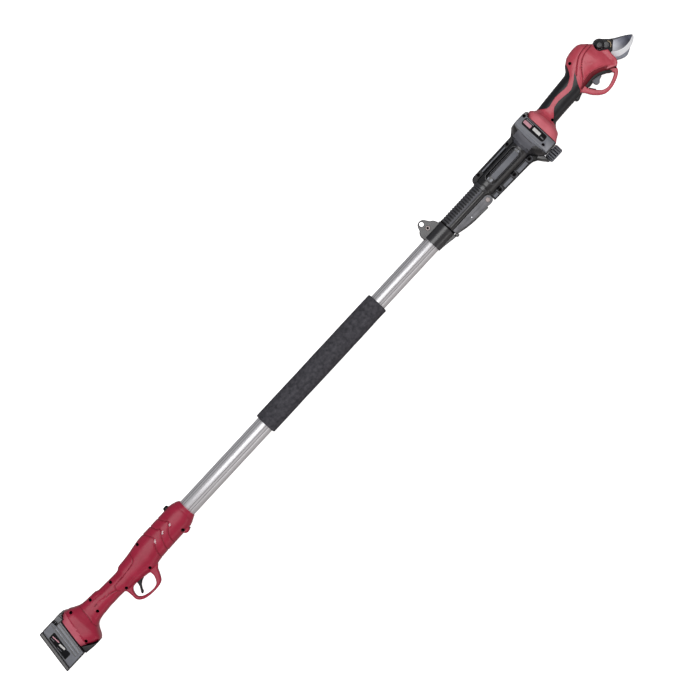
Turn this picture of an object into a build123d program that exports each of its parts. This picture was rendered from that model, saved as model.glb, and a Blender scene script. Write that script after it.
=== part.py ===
from build123d import *
import math
import os

os.makedirs("parts", exist_ok=True)

# ---------------------------------------------------------------- driving dimensions, mm
# The tool lies on its side: +X runs along the pole to the blade, the triggers face -Y,
# and the middle plane of the tool is HALF above the floor.
OX, OY = 1.0, 2.75          # pole axis offset from the centre of the footprint
HALF = 37.0                 # half the depth of the battery and of the adapter head

LOWER_OD, LOWER_ID = 32.0, 30.2
UPPER_OD, UPPER_ID = 30.0, 27.6
LOWER_X0, LOWER_X1 = -431.0, 58.0
UPPER_X0, UPPER_X1 = -392.0, 345.0
FOAM_OD, FOAM_X0, FOAM_X1 = 40.6, -188.7, 90.5
WALL = 2.4                  # shell wall
SLANT = 10.0                # slope of the battery face, degrees
SCREW_R, SCREW_HOLE_R, HEAD_R, RECESS_R = 1.45, 1.5, 2.5, 2.8

BAT_BASE_D, BAT_BAND_D, BAT_TOP_D = -699.0, -692.0, -657.0   # battery levels along its normal
FOOT_D = -656.5

PIVOT = (662.0, 21.0)       # blade pivot
MODULE = 1.5
PINION_T, SECTOR_T = 9, 30
PINION_RP, SECTOR_RP = MODULE * PINION_T / 2, MODULE * SECTOR_T / 2
MESH_DIR = 200.0            # direction from the pivot to the pinion, degrees
PINION = (
    PIVOT[0] + (PINION_RP + SECTOR_RP) * math.cos(math.radians(MESH_DIR)),
    PIVOT[1] + (PINION_RP + SECTOR_RP) * math.sin(math.radians(MESH_DIR)),
)
MOTOR_Y = 6.6               # motor axis

LEVER_PIN = (343.0, -18.0)
TRIGGER_PIN = (-521.0, -17.6)
SHEAR_PIN = (625.5, -9.8)
KNOB_X, KNOB_R = 477.0, 14.0
HANG_HOLE = (237.0, 35.5)
HANG_R = 4.0


# ---------------------------------------------------------------- planes
def level(h, x=0.0, y=0.0):
    """A sketch plane parallel to the middle plane, h above it."""
    return Plane(origin=(OX + x, OY + y, HALF + h), x_dir=(1, 0, 0), z_dir=(0, 0, 1))


def station(x, y=0.0, z=0.0):
    """A sketch plane square to the pole at x; local x is Y and local y is Z."""
    return Plane(origin=(OX + x, OY + y, HALF + z), x_dir=(0, 1, 0), z_dir=(1, 0, 0))


def across(y, x=0.0, z=0.0):
    """A sketch plane square to Y; local x is Z and local y is X, normal +Y."""
    return Plane(origin=(OX + x, OY + y, HALF + z), x_dir=(0, 0, 1), z_dir=(0, 1, 0))


MID = level(0)
SA, CA = math.sin(math.radians(SLANT)), math.cos(math.radians(SLANT))


def slanted(d, u=0.0, z=0.0):
    """A sketch plane on the battery: normal points to the handle, local x is the slide
    direction and local y is Z; d is the level along the normal."""
    ox, oy = d * CA + u * SA, -d * SA + u * CA
    return Plane(origin=(OX + ox, OY + oy, HALF + z), x_dir=(SA, CA, 0), z_dir=(CA, -SA, 0))




def u_at(d, y):
    """Slide coordinate of the point at height y on level d."""
    return (y + d * SA) / CA


# ---------------------------------------------------------------- section tables: x, top, bottom, half depth
HANDLE = [
    (-676.0, 25.0, -22.0, 33.0),
    (-664.0, 26.5, -31.0, 34.5),
    (-655.0, 31.0, -37.5, 35.0),
    (-648.0, 32.6, -40.0, 35.0),
    (-642.0, 31.0, -40.3, 34.0),
    (-636.0, 27.6, -36.5, 31.0),
    (-631.0, 25.0, -28.8, 27.5),
    (-626.0, 22.4, -23.2, 24.5),
    (-620.0, 20.5, -20.5, 22.0),
    (-610.0, 19.5, -19.0, 20.0),
    (-591.0, 18.6, -18.4, 19.0),
    (-586.0, 15.8, -18.2, 18.6),
    (-556.0, 14.4, -18.6, 18.5),
    (-546.0, 14.1, -22.5, 18.7),
    (-539.0, 14.4, -22.9, 19.0),
    (-534.0, 18.4, -23.0, 19.3),
    (-515.0, 19.4, -25.3, 20.0),
    (-503.0, 20.9, -27.3, 21.0),
    (-490.0, 23.0, -28.8, 22.4),
    (-480.0, 24.5, -26.4, 23.2),
    (-468.0, 25.0, -25.0, 23.6),
    (-414.0, 25.0, -24.2, 23.6),
    (-400.0, 24.9, -24.3, 23.2),
    (-392.0, 23.2, -22.0, 21.6),
    (-386.0, 20.8, -18.6, 19.4),
    (-382.5, 18.0, -17.2, 17.8),
]
SHEAR = [
    (489.3, 27.0, -38.0, 35.5),
    (495.0, 31.0, -34.0, 35.5),
    (501.0, 31.0, -31.0, 35.0),
    (505.0, 27.4, -28.8, 32.0),
    (509.0, 24.2, -22.0, 26.0),
    (513.0, 23.5, -16.6, 21.5),
    (518.0, 24.0, -13.2, 19.5),
    (530.0, 25.0, -12.8, 18.8),
    (550.0, 26.5, -12.3, 18.8),
    (575.0, 28.0, -12.0, 19.2),
    (585.0, 28.6, -11.6, 20.0),
    (591.0, 31.6, -11.5, 20.6),
    (598.0, 40.0, -11.2, 21.4),
    (608.0, 46.8, -10.6, 22.0),
    (618.0, 49.4, -10.4, 22.5),
    (630.0, 50.0, -14.5, 22.4),
    (637.0, 49.0, -18.6, 22.0),
    (642.0, 46.2, -21.4, 21.0),
    (646.0, 42.4, -24.0, 19.6),
    (650.0, 38.6, -26.0, 18.0),
    (653.0, 35.2, -26.4, 16.6),
    (656.0, 31.0, -24.2, 15.2),
]
PAD_SKIN = 1.8


def rect_r(x, top, bottom, half, inset=0.0):
    """Corner radius of a section, drawn in by an inset; the two feet are boxier."""
    full = 0.44 * min(top - bottom, 2 * half)
    if x < -622.0 or 480.0 < x < 510.0:
        full = min(full, 16.5 - 0.26 * (top - bottom - 38.0))
    return max(full - inset, 1.0)


HANDLE_GUARD_OUT = [
    (-560, -12), (-556, -18.5), (-553, -22), (-552, -35), (-551, -40), (-547, -45), (-540, -49.5),
    (-530, -52), (-520, -53.5), (-510, -53), (-503, -51), (-499, -47), (-494, -40), (-490, -33),
    (-485, -28.5), (-480, -22), (-485, -12),
]
HANDLE_GUARD_IN = [
    (-541, -24), (-546, -30), (-547, -38), (-544, -42.5), (-537, -47), (-525, -49.5), (-515, -49.5),
    (-509, -47), (-505, -38), (-504, -30), (-505, -27.6), (-515, -25.7), (-530, -23.4),
]
SHEAR_GUARD_OUT = [
    (582, -6), (584, -12), (588, -17), (592, -24), (598, -31), (604, -36), (611, -40), (618, -41),
    (628, -40), (640, -37), (648, -33), (653, -28), (654, -22), (644, -10), (600, -2),
]
SHEAR_GUARD_IN = [
    (596, -12), (599, -18), (603, -25), (607, -30), (613, -35), (622, -37), (632, -35), (640, -32),
    (645.5, -28.6), (643, -24.4), (637, -19.4), (630, -15.3), (618, -11), (606, -11.4),
]

# ---------------------------------------------------------------- handle shells
HANDLE_SCREWS = [(-641, 23.5), (-658, -27.5), (-610, -7.5), (-605, 14.2), (-549, -16.6), (-560, 9.6),
                 (-497, -22.6), (-483, 19.6), (-413, -20.2), (-413, 20.4)]
PIN_BOSS_R = 3.4

with BuildPart() as handle_cavity:
    for x, top, bottom, half in HANDLE:
        if x < -436.0:
            with BuildSketch(station(x, (top + bottom) / 2)):
                RectangleRounded(top - bottom - 2 * WALL, 2 * (half - WALL), rect_r(x, top, bottom, half, WALL))
    loft(ruled=True)
    # bosses for the case screws and the trigger pin stand in the hollow
    with BuildSketch(level(-40)):
        with Locations(*HANDLE_SCREWS):
            Circle(3.6)
    extrude(amount=80, mode=Mode.SUBTRACT)
    with BuildSketch(level(5.4)):
        with Locations(TRIGGER_PIN):
            Circle(PIN_BOSS_R)
    extrude(amount=30, mode=Mode.SUBTRACT)
    with BuildSketch(level(-5.4)):
        with Locations(TRIGGER_PIN):
            Circle(PIN_BOSS_R)
    extrude(amount=-30, mode=Mode.SUBTRACT)

with BuildPart() as handle_body:
    for x, top, bottom, half in HANDLE:
        with BuildSketch(station(x, (top + bottom) / 2)):
            RectangleRounded(top - bottom, 2 * half, rect_r(x, top, bottom, half))
    loft(ruled=True)
    # trigger guard loop
    with BuildSketch(level(-9)):
        Polygon(*HANDLE_GUARD_OUT, align=None)
        Polygon(*HANDLE_GUARD_IN, align=None, mode=Mode.SUBTRACT)
    extrude(amount=18)
    add(handle_cavity.part, mode=Mode.SUBTRACT)
    # the bore for the lower tube, and relief pockets round it
    with BuildSketch(station(-437)):
        Circle(LOWER_OD / 2 + 0.05)
    extrude(amount=70, mode=Mode.SUBTRACT)
    for pocket in (-429.0, -398.0):
        with BuildSketch(station(pocket)):
            Circle(20.0)
            Circle(15.9, mode=Mode.SUBTRACT)
        extrude(amount=6.5, mode=Mode.SUBTRACT)
    # the end that the battery slides on is cut square to the battery
    with BuildSketch(slanted(FOOT_D)):
        Rectangle(300, 200)
    extrude(amount=-60, mode=Mode.SUBTRACT)
    # opening for the battery's shoulder and its tongue
    with BuildSketch(level(-40)):
        Polygon((-690, 24.6), (-656.6, 24.6), (-653.6, 30.6), (-648.5, 32.7), (-648.5, 50), (-690, 50), align=None)
    extrude(amount=80, mode=Mode.SUBTRACT)
    with BuildSketch(slanted(FOOT_D - 1, u=u_at(FOOT_D, 20.0) + 14.0)):
        Rectangle(60, 49)
    extrude(amount=10.2, mode=Mode.SUBTRACT)
    # slot for the trigger
    with BuildSketch(level(-5.2)):
        Polygon((-534.5, -30), (-534.5, -12), (-509.5, -12), (-509.5, -30), align=None)
    extrude(amount=10.4, mode=Mode.SUBTRACT)
    # screw holes and head recesses, trigger pin hole
    with BuildSketch(level(-12)):
        with Locations(*HANDLE_SCREWS):
            Circle(SCREW_HOLE_R)
    extrude(amount=22, mode=Mode.SUBTRACT)
    with BuildSketch(level(8)):
        with Locations(*HANDLE_SCREWS):
            Circle(RECESS_R)
    extrude(amount=40, mode=Mode.SUBTRACT)
    with BuildSketch(level(-10)):
        with Locations(TRIGGER_PIN):
            Circle(1.52)
    extrude(amount=20, mode=Mode.SUBTRACT)
    # cross bolt hole along Y, head seat and nut seat
    with BuildSketch(across(-40, x=-407.0)):
        Circle(3.1)
    extrude(amount=80, mode=Mode.SUBTRACT)
    with BuildSketch(across(24.6, x=-407.0)):
        Circle(6.4)
    extrude(amount=20, mode=Mode.SUBTRACT)
    with BuildSketch(across(-24.0, x=-407.0)):
        Circle(6.1)
    extrude(amount=-20, mode=Mode.SUBTRACT)

with BuildPart() as handle_front_shell:
    add(handle_body.part)
    split(bisect_by=MID, keep=Keep.TOP)
with BuildPart() as handle_back_shell:
    add(handle_body.part)
    split(bisect_by=MID, keep=Keep.BOTTOM)

with BuildPart() as handle_screws:
    with BuildSketch(level(-9.5)):
        with Locations(*HANDLE_SCREWS):
            Circle(SCREW_R)
    extrude(amount=17.6)
    with BuildSketch(level(8.05)):
        with Locations(*HANDLE_SCREWS):
            Circle(HEAD_R)
    extrude(amount=2.4)
    with BuildSketch(level(9.2)):
        with Locations(*HANDLE_SCREWS):
            RegularPolygon(1.2, 6)
    extrude(amount=2.0, mode=Mode.SUBTRACT)

with BuildPart() as foot_bumper:
    with BuildSketch(level(-30)):
        Polygon((-664.5, -32.2), (-655, -38.9), (-646, -41.4), (-639.5, -41.4), (-639.0, -42.4), (-643, -44),
                (-656, -43.6), (-673.4, -41.2), (-672.4, -35.0), (-670.9, -27.0), align=None)
    extrude(amount=60)
    fillet(foot_bumper.edges().filter_by(Axis.Z).group_by(Axis.X)[-1], 0.4)

# ---------------------------------------------------------------- handle, inside
with BuildPart() as terminal_block:
    with BuildSketch(slanted(-647.0, u=u_at(-647.0, -3.0))):
        RectangleRounded(34, 40, 2)
    extrude(amount=5)
    with BuildSketch(slanted(-642.2, u=u_at(-642.2, -3.0))):
        with GridLocations(0, 11, 1, 3):
            Rectangle(26, 2)
    extrude(amount=3.0)

with BuildPart() as control_board:
    with BuildSketch(level(-7)):
        with Locations((-584, -1)):
            RectangleRounded(40, 21, 1)
    extrude(amount=1.6)
    with BuildSketch(level(-5.4)):
        with Locations((-594, 3), (-582, 3), (-572, -4)):
            Rectangle(8, 8)
    extrude(amount=4.5)
    with BuildSketch(level(-5.4)):
        with Locations((-588, -6.5)):
            Circle(3.4)
    extrude(amount=9)

with BuildPart() as trigger_switch:
    with BuildSketch(level(-6)):
        Polygon((-533, -11), (-533, 3), (-508, 3), (-508, -11), align=None)
    extrude(amount=12)
    fillet(trigger_switch.edges().filter_by(Axis.Z), 1.0)
    with BuildSketch(across(-11.0, x=-526.0)):
        Circle(1.6)
    extrude(amount=-0.5)

with BuildPart() as trigger_pin:
    with BuildSketch(level(-9.5)):
        with Locations(TRIGGER_PIN):
            Circle(1.5)
    extrude(amount=19)

with BuildPart() as grip_trigger:
    with BuildSketch(level(-4.8)):
        Polygon((-528.5, -13.2), (-513.5, -13.2), (-512.5, -20), (-514, -24.6), (-516.6, -25.6),
                (-524, -28.2), (-528, -31.2), (-531.5, -35.6), (-534.4, -41.6), (-536.6, -43.6), (-539.2, -43.2),
                (-539.6, -41.0), (-537, -37), (-533.4, -32), (-531.6, -27), (-531.0, -20), align=None)
    extrude(amount=9.6)
    fillet(grip_trigger.edges().filter_by(Axis.Z).group_by(Axis.Y)[0], 0.8)
    with BuildSketch(level(-10)):
        with Locations(TRIGGER_PIN):
            Circle(1.56)
    extrude(amount=20, mode=Mode.SUBTRACT)
    with BuildSketch(level(-2.6)):
        with Locations(TRIGGER_PIN):
            Circle(3.9)
    extrude(amount=5.2, mode=Mode.SUBTRACT)

with BuildPart() as grip_trigger_spring:
    with BuildLine(level(-2.0, TRIGGER_PIN[0], TRIGGER_PIN[1])) as grip_coil:
        Helix(pitch=1.0, height=4.0, radius=3.1)
    with BuildSketch(Plane(origin=grip_coil.line @ 0, z_dir=grip_coil.line % 0)):
        Circle(0.35)
    sweep(path=grip_coil.line, is_frenet=True)

with BuildPart() as cross_bolt:
    with BuildSketch(across(-29.0, x=-407.0)):
        Circle(3.0)
    extrude(amount=54)
    with BuildSketch(across(24.7, x=-407.0)):
        Circle(6.0)
    extrude(amount=7.4)
    fillet(cross_bolt.faces().sort_by(Axis.Y)[-1].edges(), 3.4)
    with BuildSketch(across(29.6, x=-407.0)):
        RegularPolygon(2.0, 6)
    extrude(amount=4, mode=Mode.SUBTRACT)

with BuildPart() as cross_bolt_nut:
    with BuildSketch(across(-24.1, x=-407.0)):
        RegularPolygon(5.6, 6)
        Circle(3.04, mode=Mode.SUBTRACT)
    extrude(amount=-3.2)

# ---------------------------------------------------------------- tubes and grip
with BuildPart() as lower_tube:
    with BuildSketch(station(LOWER_X0)):
        Circle(LOWER_OD / 2)
        Circle(LOWER_ID / 2, mode=Mode.SUBTRACT)
    extrude(amount=LOWER_X1 - LOWER_X0)
    with BuildSketch(across(-40, x=-407.0)):
        Circle(3.1)
    extrude(amount=80, mode=Mode.SUBTRACT)

with BuildPart() as guide_bush:
    with BuildSketch(station(LOWER_X1 + 0.1)):
        Circle(LOWER_OD / 2)
        Circle(UPPER_OD / 2 + 0.06, mode=Mode.SUBTRACT)
    extrude(amount=28)
    chamfer(guide_bush.edges().filter_by(GeomType.CIRCLE).group_by(Axis.X)[-1].sort_by(SortBy.RADIUS)[-1], 0.4)

with BuildPart() as foam_grip:
    with BuildSketch(station(FOAM_X0)):
        Circle(FOAM_OD / 2)
        Circle(LOWER_OD / 2 + 0.05, mode=Mode.SUBTRACT)
    extrude(amount=FOAM_X1 - FOAM_X0)
    fillet(foam_grip.edges().filter_by(GeomType.CIRCLE).sort_by(SortBy.RADIUS)[-2:], 2.0)

with BuildPart() as upper_tube:
    with BuildSketch(station(UPPER_X0)):
        Circle(UPPER_OD / 2)
        Circle(UPPER_ID / 2, mode=Mode.SUBTRACT)
    extrude(amount=UPPER_X1 - UPPER_X0)

with BuildPart() as inner_lock_plug:
    with BuildSketch(station(UPPER_X0 - 9.0)):
        Circle(LOWER_ID / 2 - 0.06)
        Circle(5.0, mode=Mode.SUBTRACT)
    extrude(amount=8.95)
    with BuildSketch(station(UPPER_X0 - 0.05)):
        Circle(UPPER_ID / 2 - 0.05)
        Circle(5.0, mode=Mode.SUBTRACT)
    extrude(amount=22)
    fillet(inner_lock_plug.edges().filter_by(GeomType.CIRCLE).group_by(Axis.X)[0].sort_by(SortBy.RADIUS)[-1], 1.5)

# ---------------------------------------------------------------- battery
def battery_quad(d0, d1, top, bottom):
    """Corners of the battery's side view between two levels, sides parallel to the pole."""
    return [((d0 + top * SA) / CA, top), ((d0 + bottom * SA) / CA, bottom),
            ((d1 + bottom * SA) / CA, bottom), ((d1 + top * SA) / CA, top)]


with BuildPart() as battery_core:
    # outer block between the band and the top face, sides parallel to the pole
    with BuildSketch(MID):
        Polygon(*battery_quad(BAT_BAND_D, BAT_TOP_D, 37.0, -37.6), align=None)
    extrude(amount=HALF, both=True)
    fillet(battery_core.edges().filter_by(Plane.XY).filter_by(lambda e: abs(e.tangent_at(0.5).X) > 0.9), 3.0)
    # shoulder beside the foot
    with BuildSketch(MID):
        Polygon((-675, 37.0), (-656.4, 37.0), (-649.4, 33.0), (-654.2, 31.0), (-657.2, 25.2), (-668, 25.2), align=None)
    extrude(amount=36.0, both=True)
    # tongue that slides in the foot
    with BuildSketch(slanted(BAT_TOP_D - 0.5, u=u_at(BAT_TOP_D, 6.6))):
        Rectangle(53, 48)
    extrude(amount=9.3)
    # slots for the terminals, open towards the foot
    with BuildSketch(slanted(-653.0, u=u_at(-653.0, -6.0))):
        with GridLocations(0, 12, 1, 3):
            Rectangle(24, 3)
    extrude(amount=8, mode=Mode.SUBTRACT)
    # hollow for the cells
    with BuildSketch(MID):
        Polygon(*battery_quad(BAT_BAND_D - 1, BAT_TOP_D - 2.6, 34.4, -35.0), align=None)
    extrude(amount=34.4, both=True, mode=Mode.SUBTRACT)
    # pocket for the release button and its spring seats
    with BuildSketch(level(-40)):
        Polygon((-673.5, 25.3), (-656.9, 25.3), (-656.9, 40), (-673.5, 40), align=None)
    extrude(amount=80, mode=Mode.SUBTRACT)
    # label pocket on the front face
    with BuildSketch(level(HALF - 1.0)):
        Polygon((-697, 22), (-682, 22), (-690.5, -24), (-705, -24), align=None)
    extrude(amount=3, mode=Mode.SUBTRACT)
    # pairs of grooves on the front and back faces
    for side, depth in ((HALF - 0.8, 2.0), (-HALF + 0.8, -2.0)):
        with BuildSketch(level(side)):
            Polygon((-679.0, 30), (-677.2, 30), (-688.2, -33), (-690.0, -33), align=None)
        extrude(amount=depth, mode=Mode.SUBTRACT)

with BuildPart() as battery_case:
    add(battery_core.part)

with BuildPart() as battery_base:
    with BuildSketch(MID):
        Polygon(*battery_quad(BAT_BASE_D, BAT_BAND_D - 0.05, 37.0, -37.6), align=None)
    extrude(amount=HALF, both=True)
    fillet(battery_base.edges().filter_by(Plane.XY).filter_by(lambda e: abs(e.tangent_at(0.5).X) > 0.9), 3.0)
    fillet(battery_base.faces().sort_by(lambda f: f.center().X * CA - f.center().Y * SA)[0].edges(), 1.6)
    with BuildSketch(MID):
        Polygon(*battery_quad(BAT_BASE_D + 2.0, BAT_BAND_D + 1, 34.4, -35.0), align=None)
    extrude(amount=34.4, both=True, mode=Mode.SUBTRACT)
    with BuildSketch(slanted(BAT_BASE_D - 1, u=u_at(BAT_BAND_D, -0.4))):
        with GridLocations(50, 50, 2, 2):
            Circle(1.6)
    extrude(amount=6, mode=Mode.SUBTRACT)

def on_battery(d, u):
    """Side-view position of a level and a slide coordinate."""
    return (d * CA + u * SA, -d * SA + u * CA)


CELL_R, CELL_PITCH = 9.1, 18.6
CELL_U = u_at(BAT_BASE_D + 11.4, -24.9)
with BuildPart() as battery_cells:
    with BuildSketch(level(-32.5)):
        with Locations(*[on_battery(BAT_BASE_D + 11.4, CELL_U + CELL_PITCH * i) for i in range(3)]):
            Circle(CELL_R)
        with Locations(*[on_battery(BAT_BASE_D + 27.7, CELL_U + CELL_PITCH * (i + 0.5)) for i in range(2)]):
            Circle(CELL_R)
    extrude(amount=65)

with BuildPart() as battery_terminals:
    with BuildSketch(slanted(-652.95, u=u_at(-653.0, -6.0))):
        with GridLocations(0, 12, 1, 3):
            Rectangle(20, 1.4)
    extrude(amount=4.4)

with BuildPart() as battery_screws:
    with BuildSketch(slanted(BAT_BASE_D + 0.3, u=u_at(BAT_BAND_D, -0.4))):
        with GridLocations(50, 50, 2, 2):
            Circle(1.5)
    extrude(amount=1.6)

with BuildPart() as battery_label:
    with BuildSketch(level(HALF - 0.95)):
        Polygon((-696.6, 21.6), (-682.5, 21.6), (-690.9, -23.6), (-704.6, -23.6), align=None)
    extrude(amount=0.6)

with BuildPart() as release_button:
    with BuildSketch(level(-36.4)):
        Polygon((-668, 25.6), (-657.4, 25.6), (-657.4, 36.8), (-668, 36.8), align=None)
    extrude(amount=72.8)
    chamfer(release_button.edges().filter_by(Axis.Z).group_by(Axis.Y)[-1], 1.2)
    with BuildSketch(across(36.0, x=-662.7)):
        with GridLocations(6, 2.2, 11, 4):
            Rectangle(60 / 11, 1.0)
    extrude(amount=2, mode=Mode.SUBTRACT)
    with BuildSketch(station(-669)):
        with Locations((31, -20), (31, 20)):
            Circle(3.2)
    extrude(amount=6, mode=Mode.SUBTRACT)

with BuildPart() as button_springs:
    for side in (-20.0, 20.0):
        with BuildLine() as button_coil:
            Helix(pitch=1.7, height=9.6, radius=2.3, center=(OX - 673.1, OY + 31.0, HALF + side), direction=(1, 0, 0))
        with BuildSketch(Plane(origin=button_coil.line @ 0, z_dir=button_coil.line % 0)):
            Circle(0.35)
        sweep(path=button_coil.line, is_frenet=True)

# ---------------------------------------------------------------- clamp collar
with BuildPart() as clamp_collar:
    with BuildSketch(station(225.0)):
        Circle(17.0)
    extrude(amount=37.0)
    with BuildSketch(level(-8)):
        Polygon((225, 8), (221, 14), (221, 23), (224, 28), (228, 31.5), (253, 28), (257, 23), (259.5, 14),
                (259.5, 8), align=None)
    extrude(amount=16)
    with BuildSketch(level(0.75)):
        Polygon((224, 27), (227, 30), (229, 36), (232, 40), (237, 41.5), (243, 40), (247, 35), (250, 30),
                (253, 27), align=None)
    extrude(amount=7.25)
    # lower keel
    with BuildSketch(level(-6)):
        Polygon((226, -14), (226, -16.8), (240, -18.2), (260, -20), (261.9, -18), (261.9, -14), align=None)
    extrude(amount=12)
    fillet(clamp_collar.edges().filter_by(GeomType.CIRCLE).group_by(Axis.X)[0], 0.8)
    with BuildSketch(station(215.0)):
        Circle(UPPER_OD / 2 + 0.05)
    extrude(amount=60, mode=Mode.SUBTRACT)
    # pinch slit
    with BuildSketch(level(-0.75)):
        Polygon((210, 5), (210, 50), (270, 50), (270, 5), align=None)
    extrude(amount=1.5, mode=Mode.SUBTRACT)
    # hanging hole, screw hole with head seat, nut seat
    with BuildSketch(level(-20)):
        with Locations(HANG_HOLE):
            Circle(HANG_R)
        with Locations((239.5, 23.5)):
            Circle(2.6)
    extrude(amount=40, mode=Mode.SUBTRACT)
    with BuildSketch(level(4.5)):
        with Locations((239.5, 23.5)):
            Circle(4.7)
    extrude(amount=10, mode=Mode.SUBTRACT)
    with BuildSketch(level(-5)):
        with Locations((239.5, 23.5)):
            RegularPolygon(4.7, 6)
    extrude(amount=-10, mode=Mode.SUBTRACT)

with BuildPart() as collar_screw:
    with BuildSketch(level(-8.4)):
        with Locations((239.5, 23.5)):
            Circle(2.5)
    extrude(amount=13)
    with BuildSketch(level(4.55)):
        with Locations((239.5, 23.5)):
            Circle(4.3)
    extrude(amount=4.4)
    chamfer(collar_screw.faces().sort_by(Axis.Z)[-1].edges(), 0.4)
    with BuildSketch(level(6.2)):
        with Locations((239.5, 23.5)):
            RegularPolygon(2.2, 6)
    extrude(amount=5, mode=Mode.SUBTRACT)

with BuildPart() as collar_nut:
    with BuildSketch(level(-5.05)):
        with Locations((239.5, 23.5)):
            RegularPolygon(4.6, 6)
            Circle(2.54, mode=Mode.SUBTRACT)
    extrude(amount=-3.2)

# ---------------------------------------------------------------- ribbed sleeve and its lever
with BuildPart() as ribbed_sleeve:
    with BuildSketch(station(264.0)):
        Circle(16.0)
    extrude(amount=176.0)
    with BuildSketch(level(-8)):
        Polygon((336, -10), (336, -22), (339, -25.6), (347, -25.6), (350.2, -22), (350.2, -10), align=None)
    extrude(amount=16)
    # grooves between the ribs
    for i in range(15):
        with BuildSketch(station(268.0 + 5.3 * i)):
            Circle(18)
            Circle(15.2, mode=Mode.SUBTRACT)
            with Locations((-12, 0)):
                Rectangle(28, 60, mode=Mode.SUBTRACT)
        extrude(amount=1.8, mode=Mode.SUBTRACT)
    with BuildSketch(station(263.0)):
        Circle(UPPER_OD / 2 + 0.05)
    extrude(amount=83.0, mode=Mode.SUBTRACT)
    with BuildSketch(station(346.0)):
        Circle(12.0)
    extrude(amount=100.0, mode=Mode.SUBTRACT)
    with BuildSketch(level(-20)):
        with Locations(LEVER_PIN):
            Circle(2.55)
    extrude(amount=40, mode=Mode.SUBTRACT)

LEVER_OUT = [(265.0, -10.6), (336.0, -10.6), (343.0, -10.4), (347.5, -11.8), (350.4, -15.0), (351.2, -18.5),
             (350.4, -22.5), (347.5, -25.6), (343.0, -26.6), (330.0, -26.0), (320.0, -25.5), (305.0, -25.0),
             (295.0, -24.0), (285.0, -22.5), (275.0, -20.0), (265.0, -17.4)]
with BuildPart() as lever_plates:
    for z0 in (12.6, -14.2):
        with BuildSketch(level(z0)):
            Polygon(*LEVER_OUT, align=None)
        extrude(amount=1.6)
    with BuildSketch(level(-20)):
        with Locations(LEVER_PIN):
            Circle(2.55)
    extrude(amount=40, mode=Mode.SUBTRACT)

with BuildPart() as lever_core:
    with BuildSketch(level(-12.5)):
        Polygon((265.5, -16.9), (334.0, -16.9), (334.0, -28.2), (320.0, -27.4), (305.0, -26.9), (295.0, -25.9),
                (285.0, -24.4), (275.0, -22.0), (266.0, -19.6), align=None)
    extrude(amount=25.0)
    # finger tab at the tip
    with BuildSketch(level(-10)):
        Polygon((262.6, -17.2), (266.5, -17.2), (268.0, -20.2), (268.0, -23.5), (264.6, -24.0), (262.6, -22.4), align=None)
    extrude(amount=20)

with BuildPart() as lever_rivet:
    with BuildSketch(level(-14.3)):
        with Locations(LEVER_PIN):
            Circle(2.5)
    extrude(amount=28.6)
    for z0, h in ((14.25, 2.2), (-14.25, -2.2)):
        with BuildSketch(level(z0)):
            with Locations(LEVER_PIN):
                Circle(4.2)
        extrude(amount=h)
    chamfer(lever_rivet.faces().sort_by(Axis.Z)[-1].edges(), 0.9)
    chamfer(lever_rivet.faces().sort_by(Axis.Z)[0].edges(), 0.9)

# ---------------------------------------------------------------- adapter shells
ADAPTER_SCREWS = [(370, -21.4), (405, -21.9), (441.5, -22.4), (363, 21.8), (434, 21.8)]
with BuildPart() as adapter_body:
    with BuildSketch(station(352.0)):
        Circle(19.0)
    extrude(amount=96.0)
    with BuildSketch(station(347.0)):
        Circle(17.6)
    extrude(amount=5.0)
    with BuildSketch(level(-7.5)):
        Polygon((351.4, 14), (351.4, 24.2), (356, 26), (448, 26), (455, 31), (461, 35.5), (461, 30), (446, 10),
                (446, -12), (461, -30), (462.3, -48), (455, -42), (450, -35), (443, -31), (436, -29.8), (352, -27),
                (352, -14), align=None)
    extrude(amount=15)
    # flared neck
    for x, top, bottom, half in ((444.0, 19.5, -19.5, 19.5), (449.0, 24.0, -24.0, 23.0), (456.0, 31.5, -33.0, 31.0), (463.8, 37.0, -38.0, 36.8)):
        with BuildSketch(station(x, (top + bottom) / 2)):
            RectangleRounded(top - bottom, 2 * half, 6.0)
    loft(ruled=True)
    # wing behind the knob
    with BuildSketch(level(-15)):
        Polygon((450, -33), (455, -42), (462.3, -51.5), (462.3, -30), (456, -30), align=None)
    extrude(amount=30)
    # clearance for the lever and its lug
    with BuildSketch(level(-25)):
        Polygon((340, -8), (351.7, -8), (351.7, -32), (340, -32), align=None)
    extrude(amount=50, mode=Mode.SUBTRACT)
    # bore for the sleeve, then the neck's hollow
    with BuildSketch(station(340.0)):
        Circle(16.05)
    extrude(amount=101.0, mode=Mode.SUBTRACT)
    with BuildSketch(station(440.0)):
        Circle(12.5)
    extrude(amount=30.0, mode=Mode.SUBTRACT)
    # long rounded recesses on the two faces
    for z0, h in ((17.6, 6.0), (-17.6, -6.0)):
        with BuildSketch(level(z0)):
            with Locations((402, 2)):
                SlotOverall(72, 14)
        extrude(amount=h, mode=Mode.SUBTRACT)
    # screw holes
    with BuildSketch(level(-6.5)):
        with Locations(*ADAPTER_SCREWS):
            Circle(1.5)
    extrude(amount=11, mode=Mode.SUBTRACT)
    with BuildSketch(level(4.5)):
        with Locations(*ADAPTER_SCREWS):
            Circle(2.8)
    extrude(amount=20, mode=Mode.SUBTRACT)

with BuildPart() as adapter_front_shell:
    add(adapter_body.part)
    split(bisect_by=MID, keep=Keep.TOP)
with BuildPart() as adapter_back_shell:
    add(adapter_body.part)
    split(bisect_by=MID, keep=Keep.BOTTOM)

with BuildPart() as adapter_screws:
    with BuildSketch(level(-6.0)):
        with Locations(*ADAPTER_SCREWS):
            Circle(1.45)
    extrude(amount=11)
    with BuildSketch(level(4.55)):
        with Locations(*ADAPTER_SCREWS):
            Circle(2.5)
    extrude(amount=1.9)

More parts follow.
